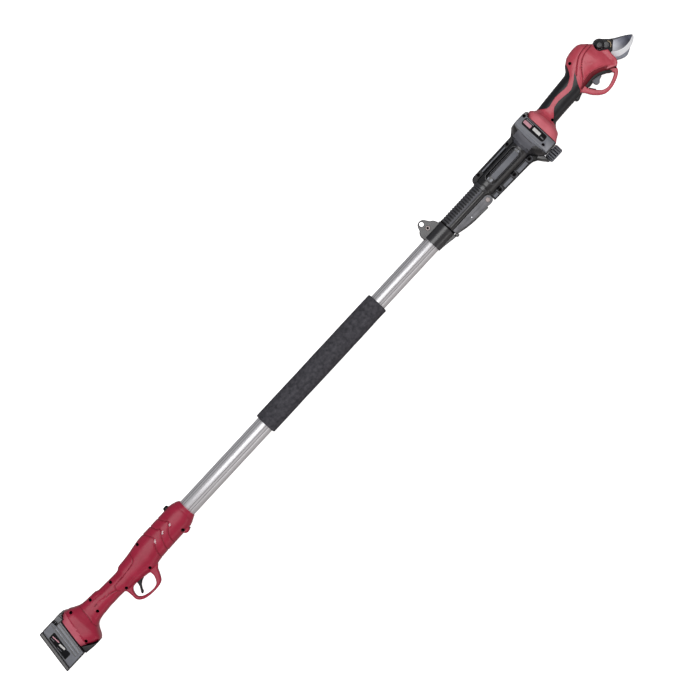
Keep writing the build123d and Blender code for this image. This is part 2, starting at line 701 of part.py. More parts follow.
# ---------------------------------------------------------------- adapter head, in the shape of a battery
with BuildPart() as adapter_head:
    with BuildSketch(station(464.0, -0.5)):
        RectangleRounded(75, 74, 4.0)
    extrude(amount=24.6)
    # shoulder and tongue
    with BuildSketch(level(-36)):
        Polygon((480, 36.6), (491.5, 36.0), (495.0, 32.4), (491.4, 30.4), (488.6, 27.0), (480, 27.0), align=None)
    extrude(amount=72)
    with BuildSketch(station(488.0, 2.0)):
        Rectangle(62, 48)
    extrude(amount=7.2)
    # hollow with an end wall and an open neck side
    with BuildSketch(station(463.0, -0.5)):
        RectangleRounded(69, 68, 2.0)
    extrude(amount=20.0, mode=Mode.SUBTRACT)
    # boss for the knob insert
    with BuildSketch(across(-38.0, x=KNOB_X)):
        Circle(9.0)
    extrude(amount=16)
    with BuildSketch(across(-39.0, x=KNOB_X)):
        Circle(5.05)
    extrude(amount=30, mode=Mode.SUBTRACT)
    # label recess on the front face
    with BuildSketch(level(HALF - 1.0)):
        Polygon((472, 29), (486.6, 29), (486.6, -20), (472.6, -20), align=None)
    extrude(amount=3, mode=Mode.SUBTRACT)
    # terminal slots
    with BuildSketch(station(491.0, -8.0)):
        with GridLocations(0, 12, 1, 3):
            Rectangle(26, 3)
    extrude(amount=8, mode=Mode.SUBTRACT)

with BuildPart() as adapter_label:
    with BuildSketch(level(HALF - 0.95)):
        Polygon((472.5, 28.6), (486.2, 28.6), (486.2, -19.6), (473, -19.6), align=None)
    extrude(amount=0.6)

with BuildPart() as adapter_contacts:
    with BuildSketch(station(491.05, -8.0)):
        with GridLocations(0, 12, 1, 3):
            Rectangle(24, 1.4)
    extrude(amount=3.8)

with BuildPart() as knob_insert:
    with BuildSketch(across(-37.6, x=KNOB_X)):
        Circle(5.0)
        Circle(3.05, mode=Mode.SUBTRACT)
    extrude(amount=14)

with BuildPart() as clamp_knob:
    with BuildSketch(across(-39.0, x=KNOB_X)):
        Circle(KNOB_R)
    extrude(amount=-16)
    chamfer(clamp_knob.edges().filter_by(GeomType.CIRCLE), 2.0)
    # grip flutes
    with BuildSketch(across(-36.0, x=KNOB_X)):
        with PolarLocations(KNOB_R + 0.5, 24):
            Circle(1.1)
    extrude(amount=-22, mode=Mode.SUBTRACT)
    with BuildSketch(across(-38.0, x=KNOB_X)):
        Circle(3.0)
    extrude(amount=-6, mode=Mode.SUBTRACT)

with BuildPart() as knob_stud:
    with BuildSketch(across(-43.9, x=KNOB_X)):
        Circle(3.0)
    extrude(amount=26)

# ---------------------------------------------------------------- shear: hollows shared by the shells
def pie(radius, a0, a1, n=16):
    """Points of a slice of a disc round the pivot, between two directions in degrees."""
    out = [PIVOT]
    for i in range(n + 1):
        a = math.radians(a0 + (a1 - a0) * i / n)
        out.append((PIVOT[0] + radius * math.cos(a), PIVOT[1] + radius * math.sin(a)))
    return out


COUNTER = [(647, -12), (647, 16), (653, 29.5), (661, 32.5), (669, 30), (673, 22), (671, 12), (667, 3), (665, -6),
           (670, -9.5), (678, -13.2), (688, -14.6), (698, -13.6), (706, -10.4), (711, -8), (707, -13.6),
           (700, -18), (692, -20), (684, -21.8), (678, -21.4), (672, -19.4), (666, -15.6), (660, -18), (652, -17)]
COUNTER_ROOM = [(646.5, -12.4), (646.5, 16.2), (652.4, 30), (661, 33.1), (680, 33), (680, -24), (666, -17),
                (660, -18.5), (651.6, -17.6)]
UPPER_PAD = [(505, 40), (512, 23), (514, 21), (517, 18), (522, 13.5), (527, 12.5), (535, 14), (545, 16), (553, 15.5),
             (565, 14), (573, 14), (580, 17), (588, 22), (592, 27), (596.5, 35), (600, 44)]
LOWER_PAD = [(511.5, -24), (512.5, -10.5), (516, -8), (522, -3), (527, 2), (533, 6), (545, 7.5), (555, 6.5), (565, 5),
             (573, 5), (580, 8), (588, 13), (594, 18), (601, 22), (597, 18), (592, 10), (588, 4), (585, -3),
             (583, -8), (580, -10), (579, -24)]
SHEAR_SCREWS = [(604, 36.5), (632, 42.6), (514.6, -6.5), (514.0, 15.0)]

with BuildPart() as shear_outer:
    for x, top, bottom, half in SHEAR:
        with BuildSketch(station(x, (top + bottom) / 2)):
            RectangleRounded(top - bottom, 2 * half, rect_r(x, top, bottom, half))
    loft(ruled=True)

with BuildPart() as shear_skin_core:
    for x, top, bottom, half in SHEAR:
        with BuildSketch(station(x, (top + bottom) / 2)):
            RectangleRounded(top - bottom - 2 * PAD_SKIN, 2 * (half - PAD_SKIN), rect_r(x, top, bottom, half, PAD_SKIN))
    loft(ruled=True)

with BuildPart() as shear_skin:
    add(shear_outer.part)
    add(shear_skin_core.part, mode=Mode.SUBTRACT)

with BuildPart() as upper_grip_pad:
    add(shear_skin.part)
    with BuildSketch(level(-30)):
        Polygon(*UPPER_PAD, align=None)
    extrude(amount=60, mode=Mode.INTERSECT)

with BuildPart() as lower_grip_pad:
    add(shear_skin.part)
    with BuildSketch(level(-30)):
        Polygon(*LOWER_PAD, align=None)
    extrude(amount=60, mode=Mode.INTERSECT)

with BuildPart() as shear_body:
    add(shear_outer.part)
    # lower jaw cheek that holds the counter blade
    with BuildSketch(level(-13.5)):
        Polygon((640, -20), (640, 10), (652, 22), (655, 14), (660, 10), (666, 8), (667, 3), (664, 1), (663, -5),
                (664, -12), (664, -17), (660, -21), (655, -24.6), align=None)
    extrude(amount=27)
    # trigger guard loop
    with BuildSketch(level(-7.5)):
        Polygon(*SHEAR_GUARD_OUT, align=None)
        Polygon(*SHEAR_GUARD_IN, align=None, mode=Mode.SUBTRACT)
    extrude(amount=15)
    add(upper_grip_pad.part, mode=Mode.SUBTRACT)
    add(lower_grip_pad.part, mode=Mode.SUBTRACT)
    # bite that leaves the pivot cover free, right through
    with BuildSketch(level(-30)):
        Polygon((651.6, 24), (653, 30.2), (657, 31.8), (680, 40), (680, 8.6), (666.6, 8.2), (660, 10.2),
                (655, 14.2), (652.4, 20), align=None)
        with Locations(PIVOT):
            Circle(10.9)
    extrude(amount=60, mode=Mode.SUBTRACT)
    # room for the blades
    with BuildSketch(level(-3.8)):
        Polygon(*pie(25.0, 134, 284), align=None)
        with Locations(PIVOT):
            Circle(13.6)
        Polygon(*COUNTER_ROOM, align=None)
    extrude(amount=8.0, mode=Mode.SUBTRACT)
    # room for the pinion and the gearbox
    with BuildSketch(level(-3.8)):
        with Locations(PINION):
            Circle(9.2)
    extrude(amount=8.4, mode=Mode.SUBTRACT)
    with BuildSketch(level(-13.4)):
        Polygon((594.6, 3.6), (594.6, 22.4), (644.8, 22.4), (644.8, 3.6), align=None)
    extrude(amount=13.0, mode=Mode.SUBTRACT)
    with BuildSketch(level(-0.5)):
        Polygon((594.6, 3.6), (594.6, 22.4), (621.4, 22.4), (621.4, 3.6), align=None)
    extrude(amount=13.0, mode=Mode.SUBTRACT)
    with BuildSketch(station(519.0, MOTOR_Y)):
        Circle(14.2)
    extrude(amount=77.2, mode=Mode.SUBTRACT)
    # foot hollow, tongue channel, board hollow
    with BuildSketch(station(489.0, -1.0)):
        Rectangle(44, 50)
    extrude(amount=16.5, mode=Mode.SUBTRACT)
    with BuildSketch(level(-37)):
        Polygon((488, 27.0), (489.0, 27.3), (491.8, 30.7), (495.5, 32.8), (495.5, 45), (480, 45), (480, 27.0), align=None)
    extrude(amount=74, mode=Mode.SUBTRACT)
    with BuildSketch(station(489.0, 2.0)):
        Rectangle(63, 49)
    extrude(amount=7.0, mode=Mode.SUBTRACT)
    with BuildSketch(station(489.0, 25.0)):
        Rectangle(30, 49)
    extrude(amount=7.0, mode=Mode.SUBTRACT)
    # wire channel to the motor
    with BuildSketch(station(500.0, MOTOR_Y)):
        Circle(5.0)
    extrude(amount=22.0, mode=Mode.SUBTRACT)
    # trigger slot and switch room
    with BuildSketch(level(-5.2)):
        Polygon((602.4, -16), (602.4, -2.6), (631.5, -2.6), (631.5, -18), (622, -16), align=None)
    extrude(amount=10.4, mode=Mode.SUBTRACT)
    with BuildSketch(level(-4.6)):
        Polygon((603.4, -3), (603.4, 3.8), (618.6, 3.8), (618.6, -3), align=None)
    extrude(amount=9.2, mode=Mode.SUBTRACT)
    with BuildSketch(level(-8.6)):
        with Locations(SHEAR_PIN):
            Circle(1.27)
    extrude(amount=17.2, mode=Mode.SUBTRACT)
    # screws
    with BuildSketch(level(-11)):
        with Locations(*SHEAR_SCREWS):
            Circle(SCREW_HOLE_R)
    extrude(amount=20, mode=Mode.SUBTRACT)
    with BuildSketch(level(9)):
        with Locations(*SHEAR_SCREWS):
            Circle(RECESS_R)
    extrude(amount=30, mode=Mode.SUBTRACT)

with BuildPart() as shear_front_shell:
    add(shear_body.part)
    split(bisect_by=MID, keep=Keep.TOP)
with BuildPart() as shear_back_shell:
    add(shear_body.part)
    split(bisect_by=MID, keep=Keep.BOTTOM)

with BuildPart() as shear_screws:
    with BuildSketch(level(-10.5)):
        with Locations(*SHEAR_SCREWS):
            Circle(SCREW_R)
    extrude(amount=19.6)
    with BuildSketch(level(9.05)):
        with Locations(*SHEAR_SCREWS):
            Circle(HEAD_R)
    extrude(amount=2.4)

# ---------------------------------------------------------------- shear, inside
with BuildPart() as shear_motor:
    with BuildSketch(station(520.5, MOTOR_Y)):
        Circle(14.0)
    extrude(amount=38.0)
    fillet(shear_motor.edges().filter_by(GeomType.CIRCLE), 1.2)
    with BuildSketch(station(558.0, MOTOR_Y)):
        Circle(2.0)
    extrude(amount=3.0)

with BuildPart() as gearbox:
    with BuildSketch(station(558.9, MOTOR_Y)):
        Circle(14.0)
    extrude(amount=37.0)
    with BuildSketch(level(-13.0)):
        Polygon((595, 4.0), (595, 22.0), (644.3, 22.0), (644.3, 4.0), align=None)
    extrude(amount=12.2)
    with BuildSketch(level(-0.9)):
        Polygon((595, 4.0), (595, 22.0), (621.0, 22.0), (621.0, 4.0), align=None)
    extrude(amount=12.9)
    with BuildSketch(station(558.0, MOTOR_Y)):
        Circle(2.1)
    extrude(amount=4.0, mode=Mode.SUBTRACT)
    with BuildSketch(level(-12.0)):
        with Locations(PINION):
            Circle(2.55)
    extrude(amount=20, mode=Mode.SUBTRACT)
    with BuildSketch(level(-5.0)):
        with Locations(PINION):
            Circle(6.5)
    extrude(amount=10, mode=Mode.SUBTRACT)

with BuildPart() as drive_bearing:
    with BuildSketch(level(-4.95)):
        with Locations(PINION):
            Circle(6.45)
            Circle(2.55, mode=Mode.SUBTRACT)
    extrude(amount=4.0)

with BuildPart() as shear_board:
    with BuildSketch(station(499.5, -1.0)):
        Rectangle(38, 44)
    extrude(amount=1.6)
    with BuildSketch(station(501.0, -1.0)):
        with Locations((-10, 10), (8, -12), (-8, -12)):
            Rectangle(7, 7)
    extrude(amount=3.0)

with BuildPart() as shear_switch:
    with BuildSketch(level(-4.2)):
        Polygon((604, -2.2), (604, 3.2), (618, 3.2), (618, -2.2), align=None)
    extrude(amount=8.4)

with BuildPart() as shear_trigger_pin:
    with BuildSketch(level(-8.4)):
        with Locations(SHEAR_PIN):
            Circle(1.25)
    extrude(amount=16.8)

with BuildPart() as shear_trigger:
    with BuildSketch(level(-4.8)):
        Polygon((605, -7.6), (624, -7.2), (627.5, -7.4), (629, -9.6), (628.2, -12), (620, -12.6), (617.4, -15),
                (615.6, -19.8), (609.6, -19.8), (608.6, -16), (610.4, -12.8), (604.6, -10.4), align=None)
    extrude(amount=9.6)
    with BuildSketch(level(-10)):
        with Locations(SHEAR_PIN):
            Circle(1.31)
    extrude(amount=20, mode=Mode.SUBTRACT)

# ---------------------------------------------------------------- blades and their drive
with BuildPart() as counter_blade:
    with BuildSketch(level(-3.5)):
        Polygon(*COUNTER, align=None)
        with Locations(PIVOT):
            Circle(4.05, mode=Mode.SUBTRACT)
    extrude(amount=3.4)


def gear_tooth(centre, rp, teeth, half_frac, at_deg, add_r, ded_r):
    """One tooth as a trapezium on its gear, pointing at at_deg."""
    pts = []
    pitch = 360.0 / teeth
    for r, w in ((rp - ded_r - 0.4, 1.36), (rp, 1.0), (rp + add_r, 0.46)):
        pts.append((r, pitch * half_frac * w))
    out = [(r, -a) for r, a in pts] + [(r, a) for r, a in reversed(pts)]
    return [
        (centre[0] + r * math.cos(math.radians(at_deg + a)), centre[1] + r * math.sin(math.radians(at_deg + a)))
        for r, a in out
    ]


SECTOR_PITCH = 360.0 / SECTOR_T
PINION_PITCH = 360.0 / PINION_T
BLADE_OUT = [(650, 22), (655, 10), (660, 2), (664, -4.6), (668, -8.6), (673, -12.6), (680, -15.6), (690, -18),
             (698, -17.6), (706, -14.8), (712, -10.8), (714.6, -7), (708, -1.4), (700, 4.2), (690, 10.4),
             (680, 17.4), (674, 23), (668, 31)]
with BuildPart() as cutting_blade:
    with BuildSketch(level(0.1)):
        Polygon(*BLADE_OUT, align=None)
        with Locations(PIVOT):
            Circle(12.0)
        Polygon(*pie(SECTOR_RP - 1.25 * MODULE, 142, 212), align=None)
        # the tooth spaces straddle the mesh direction, so teeth stand half a pitch off it
        for i in range(-5, 1):
            Polygon(*gear_tooth(PIVOT, SECTOR_RP, SECTOR_T, 0.215, MESH_DIR + (i + 0.5) * SECTOR_PITCH,
                                0.8 * MODULE, 1.2 * MODULE), align=None)
        with Locations(PIVOT):
            Circle(4.06, mode=Mode.SUBTRACT)
    extrude(amount=3.4)

with BuildPart() as drive_pinion:
    with BuildSketch(level(0.2)):
        with Locations(PINION):
            Circle(PINION_RP - 1.05 * MODULE)
        for i in range(PINION_T):
            Polygon(*gear_tooth(PINION, PINION_RP, PINION_T, 0.215, MESH_DIR + 180 + i * PINION_PITCH,
                                0.8 * MODULE, 1.0 * MODULE), align=None)
    extrude(amount=3.3)
    with BuildSketch(level(-11.5)):
        with Locations(PINION):
            Circle(2.5)
    extrude(amount=12.0)

with BuildPart() as pivot_bolt:
    with BuildSketch(level(-11.0)):
        with Locations(PIVOT):
            Circle(4.0)
    extrude(amount=15.3)
    with BuildSketch(level(4.25)):
        with Locations(PIVOT):
            Circle(6.6)
    extrude(amount=3.0)

with BuildPart() as pivot_nut:
    with BuildSketch(level(-5.2)):
        with Locations(PIVOT):
            Circle(9.8)
            Circle(4.05, mode=Mode.SUBTRACT)
    extrude(amount=-1.6)
    with BuildSketch(level(-6.8)):
        with Locations(PIVOT):
            RegularPolygon(6.6, 6)
            Circle(4.05, mode=Mode.SUBTRACT)
    extrude(amount=-4.0)

with BuildPart() as pivot_washer:
    with BuildSketch(level(3.6)):
        with Locations((665.4, 18.6)):
            Circle(10.6)
        with Locations(PIVOT):
            Circle(4.1, mode=Mode.SUBTRACT)
    extrude(amount=0.6)
    with BuildSketch(level(-3.6)):
        with Locations(PIVOT):
            Circle(9.8)
            Circle(4.1, mode=Mode.SUBTRACT)
    extrude(amount=-1.5)

with BuildPart() as pivot_cover:
    with BuildSketch(level(4.3)):
        with Locations(PIVOT):
            Circle(9.9)
    extrude(amount=7.0)
    fillet(pivot_cover.faces().sort_by(Axis.Z)[-1].edges(), 4.0)
    with BuildSketch(level(4.2)):
        with Locations(PIVOT):
            Circle(6.9)
    extrude(amount=3.4, mode=Mode.SUBTRACT)

# ---------------------------------------------------------------- write the pieces
PIECES = {
    "handle_front_shell": handle_front_shell, "handle_back_shell": handle_back_shell,
    "handle_screws": handle_screws, "foot_bumper": foot_bumper, "terminal_block": terminal_block,
    "control_board": control_board, "trigger_switch": trigger_switch, "trigger_pin": trigger_pin,
    "grip_trigger": grip_trigger, "grip_trigger_spring": grip_trigger_spring, "cross_bolt": cross_bolt,
    "cross_bolt_nut": cross_bolt_nut, "lower_tube": lower_tube, "guide_bush": guide_bush,
    "foam_grip": foam_grip, "upper_tube": upper_tube, "inner_lock_plug": inner_lock_plug,
    "battery_case": battery_case, "battery_base": battery_base, "battery_cells": battery_cells,
    "battery_terminals": battery_terminals, "battery_screws": battery_screws,
    "battery_label": battery_label, "release_button": release_button, "button_springs": button_springs,
    "clamp_collar": clamp_collar, "collar_screw": collar_screw, "collar_nut": collar_nut,
    "ribbed_sleeve": ribbed_sleeve, "lever_plates": lever_plates, "lever_core": lever_core,
    "lever_rivet": lever_rivet, "adapter_front_shell": adapter_front_shell,
    "adapter_back_shell": adapter_back_shell, "adapter_screws": adapter_screws,
    "adapter_head": adapter_head, "adapter_label": adapter_label, "adapter_contacts": adapter_contacts,
    "knob_insert": knob_insert, "clamp_knob": clamp_knob, "knob_stud": knob_stud,
    "shear_front_shell": shear_front_shell, "shear_back_shell": shear_back_shell,
    "upper_grip_pad": upper_grip_pad, "lower_grip_pad": lower_grip_pad, "shear_screws": shear_screws,
    "shear_motor": shear_motor, "gearbox": gearbox, "drive_bearing": drive_bearing,
    "shear_board": shear_board, "shear_switch": shear_switch, "shear_trigger_pin": shear_trigger_pin,
    "shear_trigger": shear_trigger, "counter_blade": counter_blade, "cutting_blade": cutting_blade,
    "drive_pinion": drive_pinion, "pivot_bolt": pivot_bolt, "pivot_nut": pivot_nut,
    "pivot_washer": pivot_washer, "pivot_cover": pivot_cover,
}
for name, piece in PIECES.items():
    piece.part.label = name
    export_step(piece.part, f"parts/{name}.step")
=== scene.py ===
import math

import bmesh
import bpy
import numpy as np
from mathutils import Matrix, Vector

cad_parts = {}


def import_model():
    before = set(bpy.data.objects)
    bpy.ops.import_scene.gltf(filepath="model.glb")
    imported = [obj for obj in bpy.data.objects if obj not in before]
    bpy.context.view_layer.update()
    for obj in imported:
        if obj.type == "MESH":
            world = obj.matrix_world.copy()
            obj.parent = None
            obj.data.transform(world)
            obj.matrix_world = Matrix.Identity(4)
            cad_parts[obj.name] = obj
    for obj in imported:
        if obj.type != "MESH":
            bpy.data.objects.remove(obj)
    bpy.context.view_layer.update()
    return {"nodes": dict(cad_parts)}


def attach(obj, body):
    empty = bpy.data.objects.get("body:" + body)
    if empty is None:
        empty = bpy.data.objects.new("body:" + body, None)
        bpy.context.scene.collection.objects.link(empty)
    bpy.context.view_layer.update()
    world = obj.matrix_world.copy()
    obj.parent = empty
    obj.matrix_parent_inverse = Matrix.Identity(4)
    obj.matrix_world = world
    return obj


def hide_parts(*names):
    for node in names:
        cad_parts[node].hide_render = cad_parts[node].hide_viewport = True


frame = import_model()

OX, OY, HALF = 1.0, 2.75, 37.0          # the tool frame's offset from the row frame, mm
SA, CA = math.sin(math.radians(10)), math.cos(math.radians(10))
PIVOT = (662.0, 21.0)


# ============================================================ camera, first
def world(x, y, z=0.0):
    return ((OX + x) / 1000, (OY + y) / 1000, (HALF + z) / 1000)


cam_data = bpy.data.cameras.new("camera")
cam_data.sensor_width = 36.0
cam_data.lens = 36.0 * 4482 / 1176
cam_data.clip_start, cam_data.clip_end = 0.05, 30
cam = bpy.data.objects.new("camera", cam_data)
cam.location = world(0.0, -20.07, 4500.0)
cam.rotation_euler = (0, 0, math.radians(-47.15))
bpy.context.scene.collection.objects.link(cam)
bpy.context.scene.camera = cam


# ============================================================ materials
def srgb(r, g, b):
    def lin(c):
        c /= 255
        return c / 12.92 if c <= 0.04045 else ((c + 0.055) / 1.055) ** 2.4
    return (lin(r), lin(g), lin(b), 1.0)


def material(name, low, high, rough, metal=0.0, grain=900.0, bump=0.15, bump_dist=0.0002, mottle=60.0,
             rough_var=0.08, coat=0.0, stretch=(1, 1, 1), edge_highlight_and_wear=None, spec=0.5, ior=1.45, aniso=0.0, scratch=0.0):
    m = bpy.data.materials.new(name)
    m.use_nodes = True
    nt = m.node_tree
    nt.nodes.clear()
    out = nt.nodes.new("ShaderNodeOutputMaterial")
    bsdf = nt.nodes.new("ShaderNodeBsdfPrincipled")
    nt.links.new(bsdf.outputs[0], out.inputs[0])
    bsdf.inputs["Metallic"].default_value = metal
    bsdf.inputs["Coat Weight"].default_value = coat
    bsdf.inputs["Coat Roughness"].default_value = 0.25
    bsdf.inputs["Specular IOR Level"].default_value = spec
    bsdf.inputs["IOR"].default_value = ior
    bsdf.inputs["Anisotropic"].default_value = aniso
    tc = nt.nodes.new("ShaderNodeTexCoord")
    mp = nt.nodes.new("ShaderNodeMapping")
    mp.inputs["Scale"].default_value = stretch
    nt.links.new(tc.outputs["Object"], mp.inputs[0])
    big = nt.nodes.new("ShaderNodeTexNoise")
    big.inputs["Scale"].default_value = mottle
    big.inputs["Detail"].default_value = 4
    nt.links.new(mp.outputs[0], big.inputs["Vector"])
    ramp = nt.nodes.new("ShaderNodeValToRGB")
    ramp.color_ramp.elements[0].position, ramp.color_ramp.elements[1].position = 0.3, 0.7
    ramp.color_ramp.elements[0].color, ramp.color_ramp.elements[1].color = low, high
    nt.links.new(big.outputs["Fac"], ramp.inputs[0])
    colour = ramp.outputs[0]
    # painted highlight together with wear: convex edges (pointiness) turn a lighter colour
    if edge_highlight_and_wear is not None:
        geo = nt.nodes.new("ShaderNodeNewGeometry")
        wr = nt.nodes.new("ShaderNodeValToRGB")
        wr.color_ramp.elements[0].position, wr.color_ramp.elements[1].position = 0.53, 0.62
        wr.color_ramp.elements[0].color, wr.color_ramp.elements[1].color = (0, 0, 0, 1), (1, 1, 1, 1)
        nt.links.new(geo.outputs["Pointiness"], wr.inputs[0])
        mix = nt.nodes.new("ShaderNodeMix")
        mix.data_type = "RGBA"
        nt.links.new(wr.outputs[0], mix.inputs["Factor"])
        nt.links.new(colour, mix.inputs["A"])
        mix.inputs["B"].default_value = edge_highlight_and_wear
        colour = mix.outputs["Result"]
    nt.links.new(colour, bsdf.inputs["Base Color"])
    fine = nt.nodes.new("ShaderNodeTexNoise")
    fine.inputs["Scale"].default_value = grain
    fine.inputs["Detail"].default_value = 3
    nt.links.new(mp.outputs[0], fine.inputs["Vector"])
    rr = nt.nodes.new("ShaderNodeMapRange")
    rr.inputs["To Min"].default_value = max(rough - rough_var, 0.03)
    rr.inputs["To Max"].default_value = min(rough + rough_var, 1.0)
    nt.links.new(big.outputs["Fac"], rr.inputs["Value"])
    nt.links.new(rr.outputs[0], bsdf.inputs["Roughness"])
    bp = nt.nodes.new("ShaderNodeBump")
    bp.inputs["Strength"].default_value = bump
    bp.inputs["Distance"].default_value = bump_dist
    nt.links.new(fine.outputs["Fac"], bp.inputs["Height"])
    nt.links.new(bp.outputs[0], bsdf.inputs["Normal"])
    m.diffuse_color = high
    return m


RED = material("red_plastic", srgb(167, 29, 60), srgb(181, 38, 70), 0.36, bump=0.14, grain=1500, coat=0.15, spec=0.45,
               edge_highlight_and_wear=srgb(206, 104, 124), rough_var=0.05)
RED_SHEAR = material("bright_red_plastic", srgb(202, 68, 86), srgb(216, 86, 103), 0.4, bump=0.14, grain=1500, coat=0.55,
                     spec=0.5, edge_highlight_and_wear=srgb(232, 165, 176), rough_var=0.07, mottle=90)
RED_FACET_HIGHLIGHT = material("red_facet_painted_highlight", srgb(196, 82, 102), srgb(208, 98, 116), 0.45, bump=0.14, grain=1500)
RED_PALE_HIGHLIGHT = material("pale_red_facet", srgb(214, 98, 112), srgb(226, 118, 130), 0.45, bump=0.14, grain=1500)
RED_GROOVE_SHADE = material("red_groove_painted_shade", srgb(132, 20, 44), srgb(144, 26, 50), 0.5, bump=0.12, grain=1500)
RED_GLINT = material("painted_glint", srgb(232, 200, 206), srgb(246, 222, 226), 0.2, bump=0.03, grain=1500)
RED_DARK = material("red_plastic_shade", srgb(116, 20, 34), srgb(130, 26, 42), 0.5, bump=0.12, grain=1500)
BLACK = material("black_plastic", srgb(13, 13, 16), srgb(21, 21, 25), 0.27, bump=0.2, grain=1600, spec=1.0, ior=1.5,
                 edge_highlight_and_wear=srgb(62, 63, 67))
BLACK_GLOSS = material("black_plastic_bright", srgb(18, 19, 23), srgb(28, 29, 34), 0.26, bump=0.1, grain=1600, spec=0.9,
                       edge_highlight_and_wear=srgb(96, 98, 104))
GREY = material("grey_plastic", srgb(104, 107, 115), srgb(122, 125, 133), 0.4, bump=0.2, grain=1500,
                edge_highlight_and_wear=srgb(150, 152, 158))
NECK = material("neck_painted_highlight", srgb(100, 101, 108), srgb(114, 115, 122), 0.34, bump=0.12, grain=1500)
NECK_LOW = material("neck_shade", srgb(44, 45, 50), srgb(56, 57, 62), 0.34, bump=0.12, grain=1500)
GREY_HIGHLIGHT = material("grey_painted_highlight", srgb(72, 73, 80), srgb(86, 87, 94), 0.34, bump=0.12, grain=1500)
BLACK_DEEP = material("black_plastic_and_painted_shade", srgb(12, 12, 15), srgb(20, 20, 24), 0.35, bump=0.1, grain=1600, spec=0.35,
                      edge_highlight_and_wear=srgb(70, 71, 75))
GOLD_DULL = material("dull_bronze", srgb(150, 134, 108), srgb(176, 160, 132), 0.4, metal=0.6)
RIVET = material("rivet_head", srgb(160, 150, 150), srgb(190, 180, 178), 0.45, metal=0.4, bump=0.3, grain=1300, mottle=500)
GREY_LIGHT = material("light_grey_plastic_and_painted_highlight", srgb(146, 150, 158), srgb(166, 170, 178), 0.42, bump=0.2, grain=1500,
                      edge_highlight_and_wear=srgb(170, 172, 178))
GREY_DARK = material("dark_grey_plastic", srgb(66, 67, 72), srgb(80, 81, 86), 0.42, bump=0.25, grain=1500,
                     edge_highlight_and_wear=srgb(110, 112, 118))
RUBBER = material("black_rubber", srgb(15, 16, 20), srgb(26, 28, 33), 0.38, bump=0.3, grain=1900, spec=0.7,
                  edge_highlight_and_wear=srgb(48, 50, 54))
FOAM = material("black_foam", srgb(58, 58, 63), srgb(90, 89, 95), 0.9, bump=0.7, bump_dist=0.0006, grain=1300,
                mottle=160, spec=0.2)
ALU = material("drawn_aluminium", srgb(222, 222, 225), srgb(236, 236, 239), 0.3, metal=0.5, bump=0.12, grain=1400,
               mottle=120, stretch=(0.03, 1, 1), rough_var=0.07)
ALU_GROOVE_SHADE = material("aluminium_groove_painted_shade", srgb(128, 126, 128), srgb(148, 146, 148), 0.42, metal=0.5, bump=0.1,
                      stretch=(0.03, 1, 1))
STEEL = material("bright_steel", srgb(190, 192, 196), srgb(214, 216, 220), 0.25, metal=1.0, bump=0.12,
                 mottle=300, stretch=(1, 0.1, 1))
STEEL_MID = material("satin_steel", srgb(132, 136, 146), srgb(152, 156, 166), 0.42, metal=0.5, bump=0.14, mottle=300)
STEEL_EDGE = material("ground_edge", srgb(244, 248, 255), srgb(252, 254, 255), 0.25, metal=0.0, bump=0.2,
                      grain=2200, mottle=500, stretch=(1, 0.15, 1))
STEEL_DARK = material("black_oxide_steel", srgb(44, 45, 48), srgb(60, 61, 65), 0.34, metal=0.9, bump=0.1,
                      edge_highlight_and_wear=srgb(120, 122, 126))
LEVER = material("grey_coated_metal", srgb(104, 105, 109), srgb(132, 132, 137), 0.42, metal=0.1, bump=0.22,
                 grain=1500, edge_highlight_and_wear=srgb(170, 171, 174))
BRASS = material("brass", srgb(180, 140, 70), srgb(200, 160, 90), 0.3, metal=1.0)
LABEL_DARK = material("label_black", srgb(14, 14, 17), srgb(22, 22, 25), 0.6, bump=0.05, spec=0.12)
LABEL_PINK = material("label_pink", srgb(206, 146, 158), srgb(222, 172, 184), 0.5, bump=0.05, mottle=400, spec=0.2)
LABEL_WHITE = material("label_white", srgb(206, 206, 204), srgb(232, 232, 230), 0.5, bump=0.05, mottle=500)
LABEL_GREY = material("label_grey", srgb(96, 97, 102), srgb(120, 121, 126), 0.35, bump=0.05, mottle=500)


